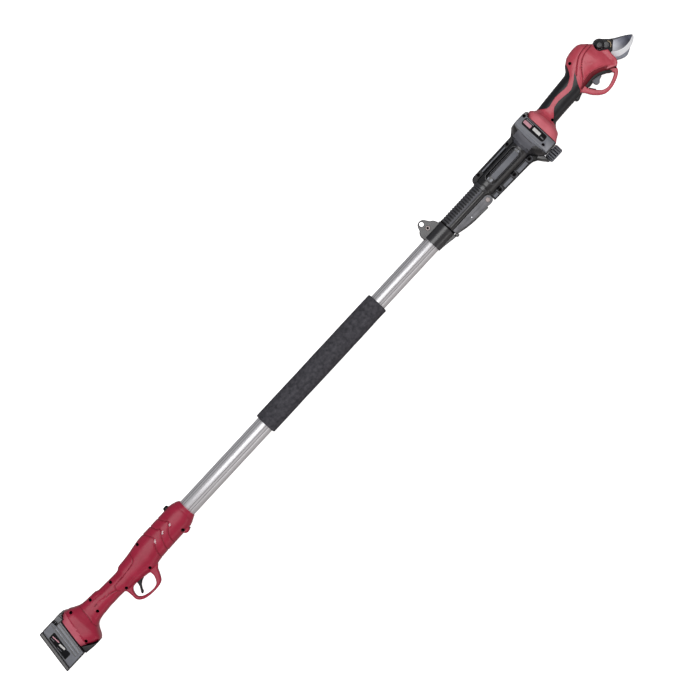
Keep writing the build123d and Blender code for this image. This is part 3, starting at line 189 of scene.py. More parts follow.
def blade_material():
    """Ground steel near the pivot that runs into a dark coating towards the tip."""
    m = bpy.data.materials.new("blade_face")
    m.use_nodes = True
    nt = m.node_tree
    bsdf = nt.nodes["Principled BSDF"]
    bsdf.inputs["Metallic"].default_value = 0.85
    tc = nt.nodes.new("ShaderNodeTexCoord")
    sep = nt.nodes.new("ShaderNodeSeparateXYZ")
    nt.links.new(tc.outputs["Object"], sep.inputs[0])
    mr = nt.nodes.new("ShaderNodeMapRange")
    mr.interpolation_type = "SMOOTHSTEP"
    mr.inputs["From Min"].default_value = (OX + 672) / 1000
    mr.inputs["From Max"].default_value = (OX + 712) / 1000
    nt.links.new(sep.outputs["X"], mr.inputs["Value"])
    noise = nt.nodes.new("ShaderNodeTexNoise")
    noise.inputs["Scale"].default_value = 700
    noise.inputs["Detail"].default_value = 4
    mp = nt.nodes.new("ShaderNodeMapping")
    mp.inputs["Scale"].default_value = (0.2, 1, 1)
    nt.links.new(tc.outputs["Object"], mp.inputs[0])
    nt.links.new(mp.outputs[0], noise.inputs["Vector"])
    add = nt.nodes.new("ShaderNodeMath")
    add.operation = "MULTIPLY_ADD"
    nt.links.new(noise.outputs["Fac"], add.inputs[0])
    add.inputs[1].default_value = 0.12
    nt.links.new(mr.outputs[0], add.inputs[2])
    ramp = nt.nodes.new("ShaderNodeValToRGB")
    e = ramp.color_ramp.elements
    e[0].position, e[0].color = 0.05, srgb(176, 178, 184)
    e[1].position, e[1].color = 0.95, srgb(66, 68, 80)
    mid = ramp.color_ramp.elements.new(0.5)
    mid.color = srgb(112, 114, 124)
    nt.links.new(add.outputs[0], ramp.inputs[0])
    nt.links.new(ramp.outputs[0], bsdf.inputs["Base Color"])
    rr = nt.nodes.new("ShaderNodeMapRange")
    rr.inputs["To Min"].default_value, rr.inputs["To Max"].default_value = 0.28, 0.45
    nt.links.new(noise.outputs["Fac"], rr.inputs["Value"])
    nt.links.new(rr.outputs[0], bsdf.inputs["Roughness"])
    bp = nt.nodes.new("ShaderNodeBump")
    bp.inputs["Strength"].default_value, bp.inputs["Distance"].default_value = 0.15, 0.0002
    nt.links.new(noise.outputs["Fac"], bp.inputs["Height"])
    nt.links.new(bp.outputs[0], bsdf.inputs["Normal"])
    return m


BLADE = blade_material()
# near-black for the insides of holes, sockets and gaps: painted shade in recesses
RECESS_SHADE = material("recess_painted_shade", srgb(8, 6, 8), srgb(14, 11, 14), 0.8, bump=0.1, spec=0.05)


# ============================================================ mesh kit (all in tool-frame mm)
class Piece:
    def __init__(self, name):
        self.name, self.bm = name, bmesh.new()
        self.mats = []

    def slot(self, mat):
        if mat not in self.mats:
            self.mats.append(mat)
        return self.mats.index(mat)

    def add(self, verts, faces, mat):
        k = self.slot(mat)
        vs = [self.bm.verts.new(v) for v in verts]
        for f in faces:
            try:
                face = self.bm.faces.new([vs[i] for i in f])
                face.material_index = k
            except ValueError:
                pass
        return self

    def add_mesh(self, data, mat, matrix=None):
        """data is (verts, faces); matrix places it."""
        v, f = data
        if matrix is not None:
            v = [tuple(matrix @ Vector(p)) for p in v]
        return self.add(v, f, mat)

    def cut(self, cutter, op="DIFFERENCE"):
        """cutter is (verts, faces), closed."""
        bmesh.ops.recalc_face_normals(self.bm, faces=self.bm.faces[:])
        a, b = bpy.data.meshes.new("a"), bpy.data.meshes.new("b")
        self.bm.to_mesh(a)
        for m in self.mats:
            a.materials.append(m)
        cb = bmesh.new()
        vs = [cb.verts.new(p) for p in cutter[0]]
        for f in cutter[1]:
            try:
                cb.faces.new([vs[i] for i in f])
            except ValueError:
                pass
        bmesh.ops.recalc_face_normals(cb, faces=cb.faces[:])
        cb.to_mesh(b)
        cb.free()
        oa, ob = bpy.data.objects.new("a", a), bpy.data.objects.new("b", b)
        for o in (oa, ob):
            bpy.context.scene.collection.objects.link(o)
        md = oa.modifiers.new("cut", "BOOLEAN")
        md.operation, md.object, md.solver = op, ob, "MANIFOLD"
        dg = bpy.context.evaluated_depsgraph_get()
        me = bpy.data.meshes.new_from_object(oa.evaluated_get(dg))
        self.bm.free()
        self.bm = bmesh.new()
        self.bm.from_mesh(me)
        for o in (oa, ob):
            bpy.data.objects.remove(o)
        for d in (a, b, me):
            bpy.data.meshes.remove(d)
        return self

    def paint(self, mat, test):
        """Gives the faces whose centres pass test(x, y, z, nx, ny, nz), all arrays, another material."""
        k = self.slot(mat)
        self.bm.normal_update()
        faces = self.bm.faces[:]
        c = np.array([f.calc_center_median()[:] for f in faces]).T
        n = np.array([f.normal[:] for f in faces]).T
        for f, hit in zip(faces, test(*c, *n)):
            if hit:
                f.material_index = k
        return self

    def half(self, side, gap=0.08):
        """Keeps the part above (side 1) or below (side -1) the middle plane, closed."""
        big = [(-900, -200), (900, -200), (900, 200), (-900, 200)]
        return self.cut(block(big, -200, gap) if side > 0 else block(big, -gap, 200))

    def done(self, body, nodes, angle=35):
        bm = self.bm
        # welding is kept only where it leaves the mesh as closed as it was
        welded = bm.copy()
        bmesh.ops.remove_doubles(welded, verts=welded.verts[:], dist=0.0002)
        if sum(not e.is_manifold for e in welded.edges) > sum(not e.is_manifold for e in bm.edges):
            welded.free()
        else:
            bm.free()
            bm = welded
        loose = [v for v in bm.verts if not v.link_faces]
        bmesh.ops.delete(bm, geom=loose, context="VERTS")
        bmesh.ops.recalc_face_normals(bm, faces=bm.faces[:])
        for v in bm.verts:
            v.co = Vector(((OX + v.co.x) / 1000, (OY + v.co.y) / 1000, (HALF + v.co.z) / 1000))
        me = bpy.data.meshes.new(self.name)
        bm.to_mesh(me)
        bm.free()
        for m in self.mats:
            me.materials.append(m)
        me.polygons.foreach_set("use_smooth", [True] * len(me.polygons))
        me.set_sharp_from_angle(angle=math.radians(angle))
        o = bpy.data.objects.new(self.name, me)
        bpy.context.scene.collection.objects.link(o)
        if nodes:
            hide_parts(*nodes)
        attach(o, body)
        return o


def grid_faces(n, m, wrap_j=False, offset=0):
    f = []
    for i in range(n - 1):
        for j in range(m if wrap_j else m - 1):
            a, b = i * m + j, i * m + (j + 1) % m
            f.append((offset + a, offset + b, offset + b + m, offset + a + m))
    return f


def rounded(points, r, n=5):
    """Rounds every corner of a closed outline by up to r."""
    out, k = [], len(points)
    for i in range(k):
        p, a, b = (np.array(points[j % k], float) for j in (i, i - 1, i + 1))
        da, db = a - p, b - p
        la, lb = np.linalg.norm(da), np.linalg.norm(db)
        d = min(r, 0.45 * la, 0.45 * lb)
        p0, p1 = p + da / la * d, p + db / lb * d
        for t in np.linspace(0, 1, n + 1):
            out.append(tuple((1 - t) ** 2 * p0 + 2 * t * (1 - t) * p + t * t * p1))
    return out


def circle(c, r, n=40):
    return [(c[0] + r * math.cos(2 * math.pi * i / n), c[1] + r * math.sin(2 * math.pi * i / n)) for i in range(n)]


def prism(outline, z0, z1, bevel=0.5, holes=(), res=2):
    """A plate with rounded rims; outline and holes are closed lists of points."""
    cu = bpy.data.curves.new("c", "CURVE")
    cu.dimensions, cu.fill_mode = "2D", "BOTH"
    bevel = min(bevel, (z1 - z0) / 2 - 0.01)
    cu.extrude = (z1 - z0) / 2 - bevel
    cu.bevel_depth, cu.bevel_resolution, cu.offset = bevel, res, -bevel
    def turn(pts, ccw):
        area = sum(a[0] * b[1] - b[0] * a[1] for a, b in zip(pts, list(pts[1:]) + [pts[0]]))
        return list(pts) if (area > 0) == ccw else list(pts)[::-1]
    for pts in [turn(outline, True)] + [turn(h, False) for h in holes]:
        sp = cu.splines.new("POLY")
        sp.points.add(len(pts) - 1)
        for q, p in zip(sp.points, pts):
            q.co = (p[0], p[1], 0, 1)
        sp.use_cyclic_u = True
    ob = bpy.data.objects.new("c", cu)
    bpy.context.scene.collection.objects.link(ob)
    dg = bpy.context.evaluated_depsgraph_get()
    me = bpy.data.meshes.new_from_object(ob.evaluated_get(dg))
    bm = bmesh.new()
    bm.from_mesh(me)
    bmesh.ops.remove_doubles(bm, verts=bm.verts[:], dist=0.002)
    bm.verts.index_update()
    data = ([(v.co.x, v.co.y, v.co.z + (z0 + z1) / 2) for v in bm.verts], [[v.index for v in f.verts] for f in bm.faces])
    bm.free()
    bpy.data.objects.remove(ob)
    bpy.data.curves.remove(cu)
    bpy.data.meshes.remove(me)
    return data


def block(outline, z0, z1):
    """A plain prism, used for cutting."""
    n = len(outline)
    v = [(x, y, z0) for x, y in outline] + [(x, y, z1) for x, y in outline]
    f = [tuple(range(n))[::-1], tuple(range(n, 2 * n))]
    f += [(i, (i + 1) % n, n + (i + 1) % n, n + i) for i in range(n)]
    return v, f


def join(*datas):
    v, f = [], []
    for a, b in datas:
        k = len(v)
        v += list(a)
        f += [[i + k for i in x] for x in b]
    return v, f


def lathe(profile, segs=64, matrix=None, rfun=None):
    """profile is (r, h) along local z; closed at the axis if r is 0 at its ends."""
    v, f, rows = [], [], []
    for r, h in profile:
        if r < 1e-6:
            rows.append([len(v)])
            v.append((0, 0, h))
        else:
            row = []
            for j in range(segs):
                a = 2 * math.pi * j / segs
                rr = r if rfun is None else rfun(r, h, a)
                row.append(len(v))
                v.append((rr * math.cos(a), rr * math.sin(a), h))
            rows.append(row)
    loop = rows[0] and len(rows[0]) > 1 and len(rows[-1]) > 1
    pairs = list(zip(rows, rows[1:]))
    if loop:
        pairs.append((rows[-1], rows[0]))
    for a, b in pairs:
        for j in range(segs):
            k = (j + 1) % segs
            if len(a) == 1:
                f.append((a[0], b[j], b[k]))
            elif len(b) == 1:
                f.append((a[j], b[0], a[k]))
            else:
                f.append((a[j], b[j], b[k], a[k]))
    if matrix is not None:
        v = [tuple(matrix @ Vector(p)) for p in v]
    return v, f


def place(x, y, z=0.0, axis="Z"):
    t = Matrix.Translation((x, y, z))
    if axis == "X":
        return t @ Matrix(((0, 0, 1, 0), (1, 0, 0, 0), (0, 1, 0, 0), (0, 0, 0, 1)))
    if axis == "Y":
        return t @ Matrix(((0, 1, 0, 0), (0, 0, 1, 0), (1, 0, 0, 0), (0, 0, 0, 1)))
    if axis == "-Y":
        return t @ Matrix(((1, 0, 0, 0), (0, 0, -1, 0), (0, 1, 0, 0), (0, 0, 0, 1)))
    if axis == "-Z":
        return t @ Matrix(((1, 0, 0, 0), (0, -1, 0, 0), (0, 0, -1, 0), (0, 0, 0, 1)))
    return t


def seg_dist(x, y, pts):
    d = np.full(x.shape, 1e9)
    for (x0, y0), (x1, y1) in zip(pts, pts[1:]):
        ux, uy = x1 - x0, y1 - y0
        t = np.clip(((x - x0) * ux + (y - y0) * uy) / (ux * ux + uy * uy + 1e-9), 0, 1)
        d = np.minimum(d, np.hypot(x - x0 - t * ux, y - y0 - t * uy))
    return d


def inside(x, y, pts):
    """Signed distance to a closed outline, positive inside."""
    d = seg_dist(x, y, list(pts) + [pts[0]])
    c = np.zeros(x.shape, bool)
    k = len(pts)
    for i in range(k):
        (x0, y0), (x1, y1) = pts[i], pts[(i + 1) % k]
        hit = ((y0 > y) != (y1 > y)) & (x < (x1 - x0) * (y - y0) / (y1 - y0 + 1e-12) + x0)
        c ^= hit
    return np.where(c, d, -d)


def step(d, w):
    t = np.clip(d / w * 0.5 + 0.5, 0, 1)
    return t * t * (3 - 2 * t)


def table_at(tab, xs, soft=1.4):
    t = np.array(tab, float)
    fine = np.arange(t[0, 0] - 12, t[-1, 0] + 12, 0.25)
    k = np.exp(-0.5 * (np.arange(-24, 25) * 0.25 / soft) ** 2)
    k /= k.sum()
    cols = []
    for c in range(1, t.shape[1]):
        v = np.interp(fine, t[:, 0], t[:, c])
        v = np.convolve(np.pad(v, 24, mode="edge"), k, mode="valid")
        cols.append(np.interp(xs, fine, v))
    return cols


def loft(tab, xs, sides, expo, wall, disp=None, m=56, gap=0.06, grow=0.0, soft=1.4):
    """A shell wrapped round the stations xs. sides is 1 or -1 for half a shell, 0 for the whole way round.
    expo(x) squares the section off; disp(x, y, z) presses the outside in, in mm."""
    top, bot, half = table_at(tab, xs, soft)
    n = expo(xs)[:, None]
    if sides:
        t = np.linspace(0, math.pi, m + 1)
        # the rings stay evenly spaced round the section
        t = t + 0.0 * t
        sign = sides
    else:
        t = np.linspace(0, 2 * math.pi, 2 * m, endpoint=False)
        sign = 1
    c, s = np.cos(t)[None, :], np.sin(t)[None, :]
    yc, ry, rz = ((top + bot) / 2)[:, None], ((top - bot) / 2 + grow)[:, None], (half + grow)[:, None]
    uy, uz = np.sign(c) * np.abs(c) ** (2 / n), np.sign(s) * np.abs(s) ** (2 / n)
    x = np.repeat(xs[:, None], t.size, 1)
    y, z = yc + ry * uy, rz * uz
    ny = np.sign(c) * np.abs(uy) ** (n - 1) / ry
    nz = np.sign(s) * np.abs(uz) ** (n - 1) / rz
    ln = np.hypot(ny, nz) + 1e-9
    ny, nz = ny / ln, nz / ln
    if disp is not None:
        d = disp(x, y, z)
        y, z = y - d * ny, z - d * nz
    yi = yc + np.maximum(ry - wall, 0.6) * uy
    zi = np.maximum(rz - wall, 0.6) * uz
    if sides:
        z, zi = np.maximum(z, gap) * sign, np.maximum(zi, gap) * sign
    N, M = x.shape
    v = np.stack([x, y, z], -1).reshape(-1, 3)
    w = np.stack([x, yi, zi], -1).reshape(-1, 3)
    verts = [tuple(p) for p in v] + [tuple(p) for p in w]
    k = N * M
    faces = grid_faces(N, M, not sides)
    faces += [tuple(k + i for i in f[::-1]) for f in faces]
    for j in range(M if not sides else M - 1):
        b = (j + 1) % M
        faces.append((j, k + j, k + b, b))
        e = (N - 1) * M
        faces.append((e + b, k + e + b, k + e + j, e + j))
    if sides:
        for i in range(N - 1):
            for j in (0, M - 1):
                a, b = i * M + j, (i + 1) * M + j
                faces.append((a, b, k + b, k + a))
    return verts, faces


def smooth_curve(pts, n=8, closed=False):
    """Catmull-Rom points through a list."""
    p = [np.array(q, float) for q in pts]
    k = len(p)
    out = []
    for i in range(k if closed else k - 1):
        a, b, c, d = (p[(i - 1) % k] if closed or i else p[0], p[i], p[(i + 1) % k],
                      p[(i + 2) % k] if closed or i + 2 < k else p[-1])
        for t in np.linspace(0, 1, n, endpoint=False):
            out.append(tuple(0.5 * (2 * b + (c - a) * t + (2 * a - 5 * b + 4 * c - d) * t * t
                                    + (3 * b - a - 3 * c + d) * t ** 3)))
    if not closed:
        out.append(tuple(p[-1]))
    return out


# ============================================================ outlines (tool frame, mm)
HANDLE = [
    (-676.0, 25.0, -27.0, 34.0), (-664.0, 26.5, -31.0, 34.8), (-655.0, 31.0, -38.0, 35.0),
    (-648.0, 32.6, -41.6, 34.6), (-641.5, 31.0, -43.8, 33.0), (-637.0, 28.0, -39.6, 30.5),
    (-632.0, 25.4, -30.4, 27.5), (-627.0, 22.8, -24.2, 24.8), (-620.0, 20.6, -20.6, 22.0),
    (-610.0, 19.5, -19.0, 20.0), (-591.0, 18.6, -18.4, 19.0), (-586.0, 15.8, -18.2, 18.6),
    (-556.0, 14.4, -18.6, 18.5), (-546.0, 14.1, -22.5, 18.7), (-539.0, 14.4, -22.9, 19.0),
    (-534.0, 18.4, -23.0, 19.3), (-515.0, 19.4, -25.3, 20.0), (-503.0, 20.9, -27.3, 21.0),
    (-490.0, 23.0, -28.8, 22.4), (-480.0, 24.5, -26.4, 23.2), (-468.0, 25.0, -25.0, 23.6),
    (-414.0, 25.0, -24.2, 23.6), (-400.0, 24.9, -24.3, 23.2), (-392.0, 23.2, -22.0, 21.6),
    (-386.0, 20.8, -18.6, 19.4), (-382.5, 18.0, -17.2, 17.8),
]
HANDLE_GUARD_OUT = [
    (-560, -12), (-556, -18.5), (-553.4, -22), (-552.8, -34), (-552.6, -41), (-549, -46.8), (-541.5, -51.6),
    (-531, -54.0), (-520, -54.9), (-510, -54.4), (-502.5, -52), (-498, -47.6), (-493.4, -40), (-490, -33),
    (-485, -28.5), (-480, -22), (-485, -12),
]
HANDLE_GUARD_IN = [
    (-541, -24), (-546, -30), (-547.6, -38), (-545, -43.2), (-538, -47.6), (-526, -50.4), (-515.5, -50.2),
    (-508.6, -47), (-503.6, -38), (-503, -30.4), (-505, -27.6), (-515, -25.7), (-530, -23.4),
]
HANDLE_SCREWS = [(-641, 23.5), (-658, -27.5), (-610, -7.5), (-605, 14.2), (-549, -16.6), (-560, 9.6),
                 (-497, -22.6), (-483, 19.6), (-413, -20.2), (-413, 20.4)]


def handle_expo(x):
    return np.interp(x, [-660, -640, -622, -560, -480, -405, -388], [5.0, 4.4, 3.0, 2.5, 2.5, 2.4, 2.05])


CHEVRONS = [
    [(-466, 25), (-461, 18), (-457, 10), (-458, 2), (-463, -3), (-468, -12), (-471, -24)],
    [(-447, 25), (-443, 15), (-438, 10), (-441, 3), (-446, -3), (-452, -15), (-455, -24)],
    [(-429, 24), (-424, 15), (-419, 9), (-423, 3), (-430, -3), (-436, -12), (-438, -23)],
]
HANDLE_LINES = [
    (smooth_curve([(-608, 1), (-594, 0), (-580, -2), (-566, -6), (-560, -12)]), 0.8, 0.7),
    (smooth_curve([(-563, -8), (-560, -1), (-550, 0.6), (-540, 1), (-525, 2), (-510, 5), (-505, 12), (-503, 19)]), 0.9, 0.8),
    ([(-625, 21), (-625.5, 8), (-627, -4), (-630, -16), (-629, -24)], 1.0, 0.5),
    (smooth_curve([(-604, 12), (-590, 10), (-570, 9), (-550, 9), (-538, 12), (-532, 19)]), 0.8, 0.5),
    (smooth_curve([(-548, -18), (-530, -14), (-508, -15), (-494, -20), (-486, -27)]), 0.8, 0.5),
    ([(-391, 24), (-390, 0), (-391, -23)], 0.7, 0.6),
]


def handle_disp(x, y, z):
    d = np.zeros_like(x)
    for pts in CHEVRONS:
        r = seg_dist(x, y, smooth_curve(pts))
        d += 1.25 * np.exp(-(r / 1.25) ** 2)
        r2 = seg_dist(x, y, [(px + 2.6, py) for px, py in pts])
        d -= 0.35 * np.exp(-(r2 / 1.3) ** 2)
    for pts, w, dep in HANDLE_LINES:
        d += dep * np.exp(-(seg_dist(x, y, pts) / w) ** 2)
    # raised lip along the battery end
    lip = np.interp(y, [-42, -31, 0, 20, 30, 40], [-664.6, -662.2, -654.7, -649.8, -647.5, -645.2])
    d -= 1.3 * step(lip - x, 0.9) - 0.5 * np.exp(-((x - lip - 1.2) / 0.8) ** 2)
    for gx in (-458.2, -439.4, -421.6):
        d -= 0.8 * np.exp(-(seg_dist(x, y, [(gx - 0.6, 0.0), (gx + 1.6, 3.0)]) / 1.4) ** 2)
    # finger hollows under the grip
    d += 0.5 * np.exp(-((x + 590) / 9) ** 2) * step(-y - 10, 8) + 0.5 * np.exp(-((x + 570) / 7) ** 2) * step(-y - 10, 8)
    return d


def handle_piece(side):
    p = Piece("handle_front" if side > 0 else "handle_back")
    xs = np.concatenate([np.arange(-675, -382.4, 1.15), [-382.4]])
    p.add_mesh(loft(HANDLE, xs, side, handle_expo, 2.4, handle_disp, m=60), RED)
    bore = lathe([(16.12, -60), (16.12, 20)], 72, place(-383, 0, 0, "X"))
    bv, bf = lathe([(0, -48), (16.12, -48), (16.12, 12), (0, 12)], 72, place(-383, 0, 0, "X"))
    p.cut((bv, bf))
    d = -655.4
    o = np.array([(d * CA, -d * SA)])[0]
    e = np.array([SA, CA])
    far = [(o + e * -200), (o + e * 200), (o + e * 200 - np.array([60, 0])), (o - e * 200 - np.array([60, 0]))]
    p.cut(block([tuple(q) for q in far], -60, 60))
    p.cut(block([(-690, 24.6), (-656.6, 24.6), (-653.6, 30.6), (-648.5, 32.7), (-648.5, 50), (-690, 50)], -60, 60))
    # guard loop
    g = Piece("g")
    g.add_mesh(prism(smooth_curve(HANDLE_GUARD_OUT[1:-1], 4) + [(-485, -14), (-558, -14)], -8.8, 8.8, 2.6,
                     [smooth_curve(HANDLE_GUARD_IN, 4, True)], 4), RED)
    g.half(side)
    vs = [tuple(v.co) for v in g.bm.verts]
    g.bm.verts.index_update()
    fs = [[v.index for v in f.verts] for f in g.bm.faces]
    g.bm.free()
    p.cut((vs, fs), "UNION")
    p.cut(block([(-534.5, -30), (-534.5, -12), (-509.5, -12), (-509.5, -30)], -5.3, 5.3))
    # boss over the bolt's nut
    b = Piece("b")
    b.add_mesh(prism(circle((-409.4, -21.3), 7.4, 40), -10.0, 10.0, 3.2, res=5), RED)
    b.half(side)
    vs = [tuple(v.co) for v in b.bm.verts]
    b.bm.verts.index_update()
    fs = [[v.index for v in f.verts] for f in b.bm.faces]
    b.bm.free()
    p.cut((vs, fs), "UNION")
    heads = [block(circle(c, 3.5 if c == (-413, -20.2) else 2.85, 28), 7.9, 60) for c in HANDLE_SCREWS[:-1]]
    if side > 0:
        p.cut(join(*heads))
    # bolt seats
    p.cut(lathe([(0, 24.5), (6.5, 24.5), (6.5, 50), (0, 50)], 40, place(-407, 0, 0, "Y")))
    p.cut(lathe([(0, 24.0), (6.2, 24.0), (6.2, 50), (0, 50)], 40, place(-407, 0, 0, "-Y")))
    # lighter red on the facet along the battery end: painted highlight where the facet faces the end lamp
    p.paint(RED_FACET_HIGHLIGHT, lambda x, y, z, nx, ny, nz: (
        x < np.interp(y, [-42, -31, 0, 20, 30, 40], [-664.8, -662.4, -654.9, -650.0, -647.7, -645.4])) & (np.abs(z) > 12) & (nx < 0.5))
    # darker red along the chevrons and panel lines: painted shade in the grooves
    lines = [smooth_curve(c) for c in CHEVRONS] + [q[0] for q in HANDLE_LINES[:3]]
    p.paint(RED_GROOVE_SHADE, lambda x, y, z, nx, ny, nz: (np.minimum.reduce([seg_dist(x, y, c) for c in lines]) < 0.75) & (z * side > 6)
            & (x > -640) & (nz * side > 0.05))
    # near-white spots on the chevron tips: painted glints
    p.paint(RED_GLINT, lambda x, y, z, nx, ny, nz: (np.minimum.reduce([
        seg_dist(x, y, [(gx - 1.3, gy - 1.2), (gx + 1.5, gy + 1.7)]) for gx, gy in ((-457.9, 1.0), (-439.0, 1.6), (-421.1, 2.0))])
        < 1.25) & (np.abs(z) > 20))
    node = "handle_front_shell" if side > 0 else "handle_back_shell"
    return p.done("handle", [node], 32)


handle_piece(1)
handle_piece(-1)


# ============================================================ tubes with flutes, foam grip
def fluted(name, x0, x1, r, ri, body, node):
    n = 216
    flutes = [40, -20, -80, 100, 160, 220]
    a = np.arange(n) * 2 * math.pi / n

    def rad(ang):
        d = np.zeros_like(ang)
        for f in flutes:
            u = np.abs((np.degrees(ang) - f + 180) % 360 - 180)
            d += 0.42 * step(8.0 - u, 1.6)
            d += 0.32 * np.exp(-((u - 8.8) / 1.0) ** 2)
        return r - d
    rr = rad(a)
    xs = [x0, x0 + 0.5, x1 - 0.5, x1]
    ro = [rr - 0.4, rr, rr, rr - 0.4]
    # the angle is measured from +Z (towards the front) to +Y
    v, f = [], []
    for x, q in zip(xs, ro):
        v += [(x, float(q[i] * math.sin(a[i])), float(q[i] * math.cos(a[i]))) for i in range(n)]
    for x in (x1, x0):
        v += [(x, ri * math.sin(t), ri * math.cos(t)) for t in a]
    rows = 6
    for i in range(rows):
        for j in range(n):
            k = (j + 1) % n
            b = (i + 1) % rows
            f.append((i * n + j, b * n + j, b * n + k, i * n + k))
    p = Piece(name)
    p.add(v, f, ALU)
    # darker aluminium along the flute edges: painted shade in the grooves
    groove = p.slot(ALU_GROOVE_SHADE)
    for face in p.bm.faces:
        c = face.calc_center_median()
        rad_c = math.hypot(c.y, c.z)
        if x0 + 1 < c.x < x1 - 1 and rad_c > ri + 0.3:
            ang = math.degrees(math.atan2(c.y, c.z))
            for fl in flutes:
                u = abs((ang - fl + 180) % 360 - 180)
                if 7.1 < u < 10.3:
                    face.material_index = groove
    return p.done(body, [node], 40)


fluted("lower_tube_fluted", -431.0, 58.0, 16.0, 15.12, "handle", "lower_tube")
fluted("upper_tube_fluted", -392.0, 345.0, 15.0, 13.8, "upper_pole", "upper_tube")


def foam():
    rng = np.random.default_rng(7)
    x0, x1, R = -188.7, 90.5, 20.3
    xs = np.concatenate([np.linspace(x0, x0 + 3, 7), np.arange(x0 + 5, x1 - 4, 2.2), np.linspace(x1 - 3, x1, 7)])
    n = 96
    a = np.arange(n) * 2 * math.pi / n
    coef = [(rng.uniform(0.01, 0.05), rng.integers(1, 6), rng.uniform(0, 6.28), rng.uniform(0, 6.28)) for _ in range(16)]
    v = []
    for x in xs:
        e = min(x - x0, x1 - x)
        edge = 2.4 * (1 - math.sqrt(max(0.0, 1 - (1 - min(e / 2.4, 1)) ** 2)))
        r = np.full(n, R - edge)
        for f, k, ph, pa in coef:
            r += 0.09 * np.sin(x * f * 2.2 + ph) * np.sin(k * a + pa)
        r = np.minimum(r, R)
        v += [(x, float(r[i] * math.sin(a[i])), float(r[i] * math.cos(a[i]))) for i in range(n)]
    N = len(xs)
    for x, ri in ((x1 - 0.2, 16.2), (x0 + 0.2, 16.2)):
        v += [(x, ri * math.sin(t), ri * math.cos(t)) for t in a]
    f = []
    rows = N + 2
    for i in range(rows):
        b = (i + 1) % rows
        for j in range(n):
            k = (j + 1) % n
            f.append((i * n + j, b * n + j, b * n + k, i * n + k))
    p = Piece("foam_sleeve")
    p.add(v, f, FOAM)
    o = p.done("handle", ["foam_grip"], 60)
    return o


foam()


# ============================================================ battery
def quad(d0, d1, top, bottom):
    return [((d0 + top * SA) / CA, top), ((d0 + bottom * SA) / CA, bottom),
            ((d1 + bottom * SA) / CA, bottom), ((d1 + top * SA) / CA, top)]


def slant_box(d0, d1, y0, y1):
    """A region of the battery's side face, between two levels and two heights."""
    return quad(d0, d1, y1, y0)


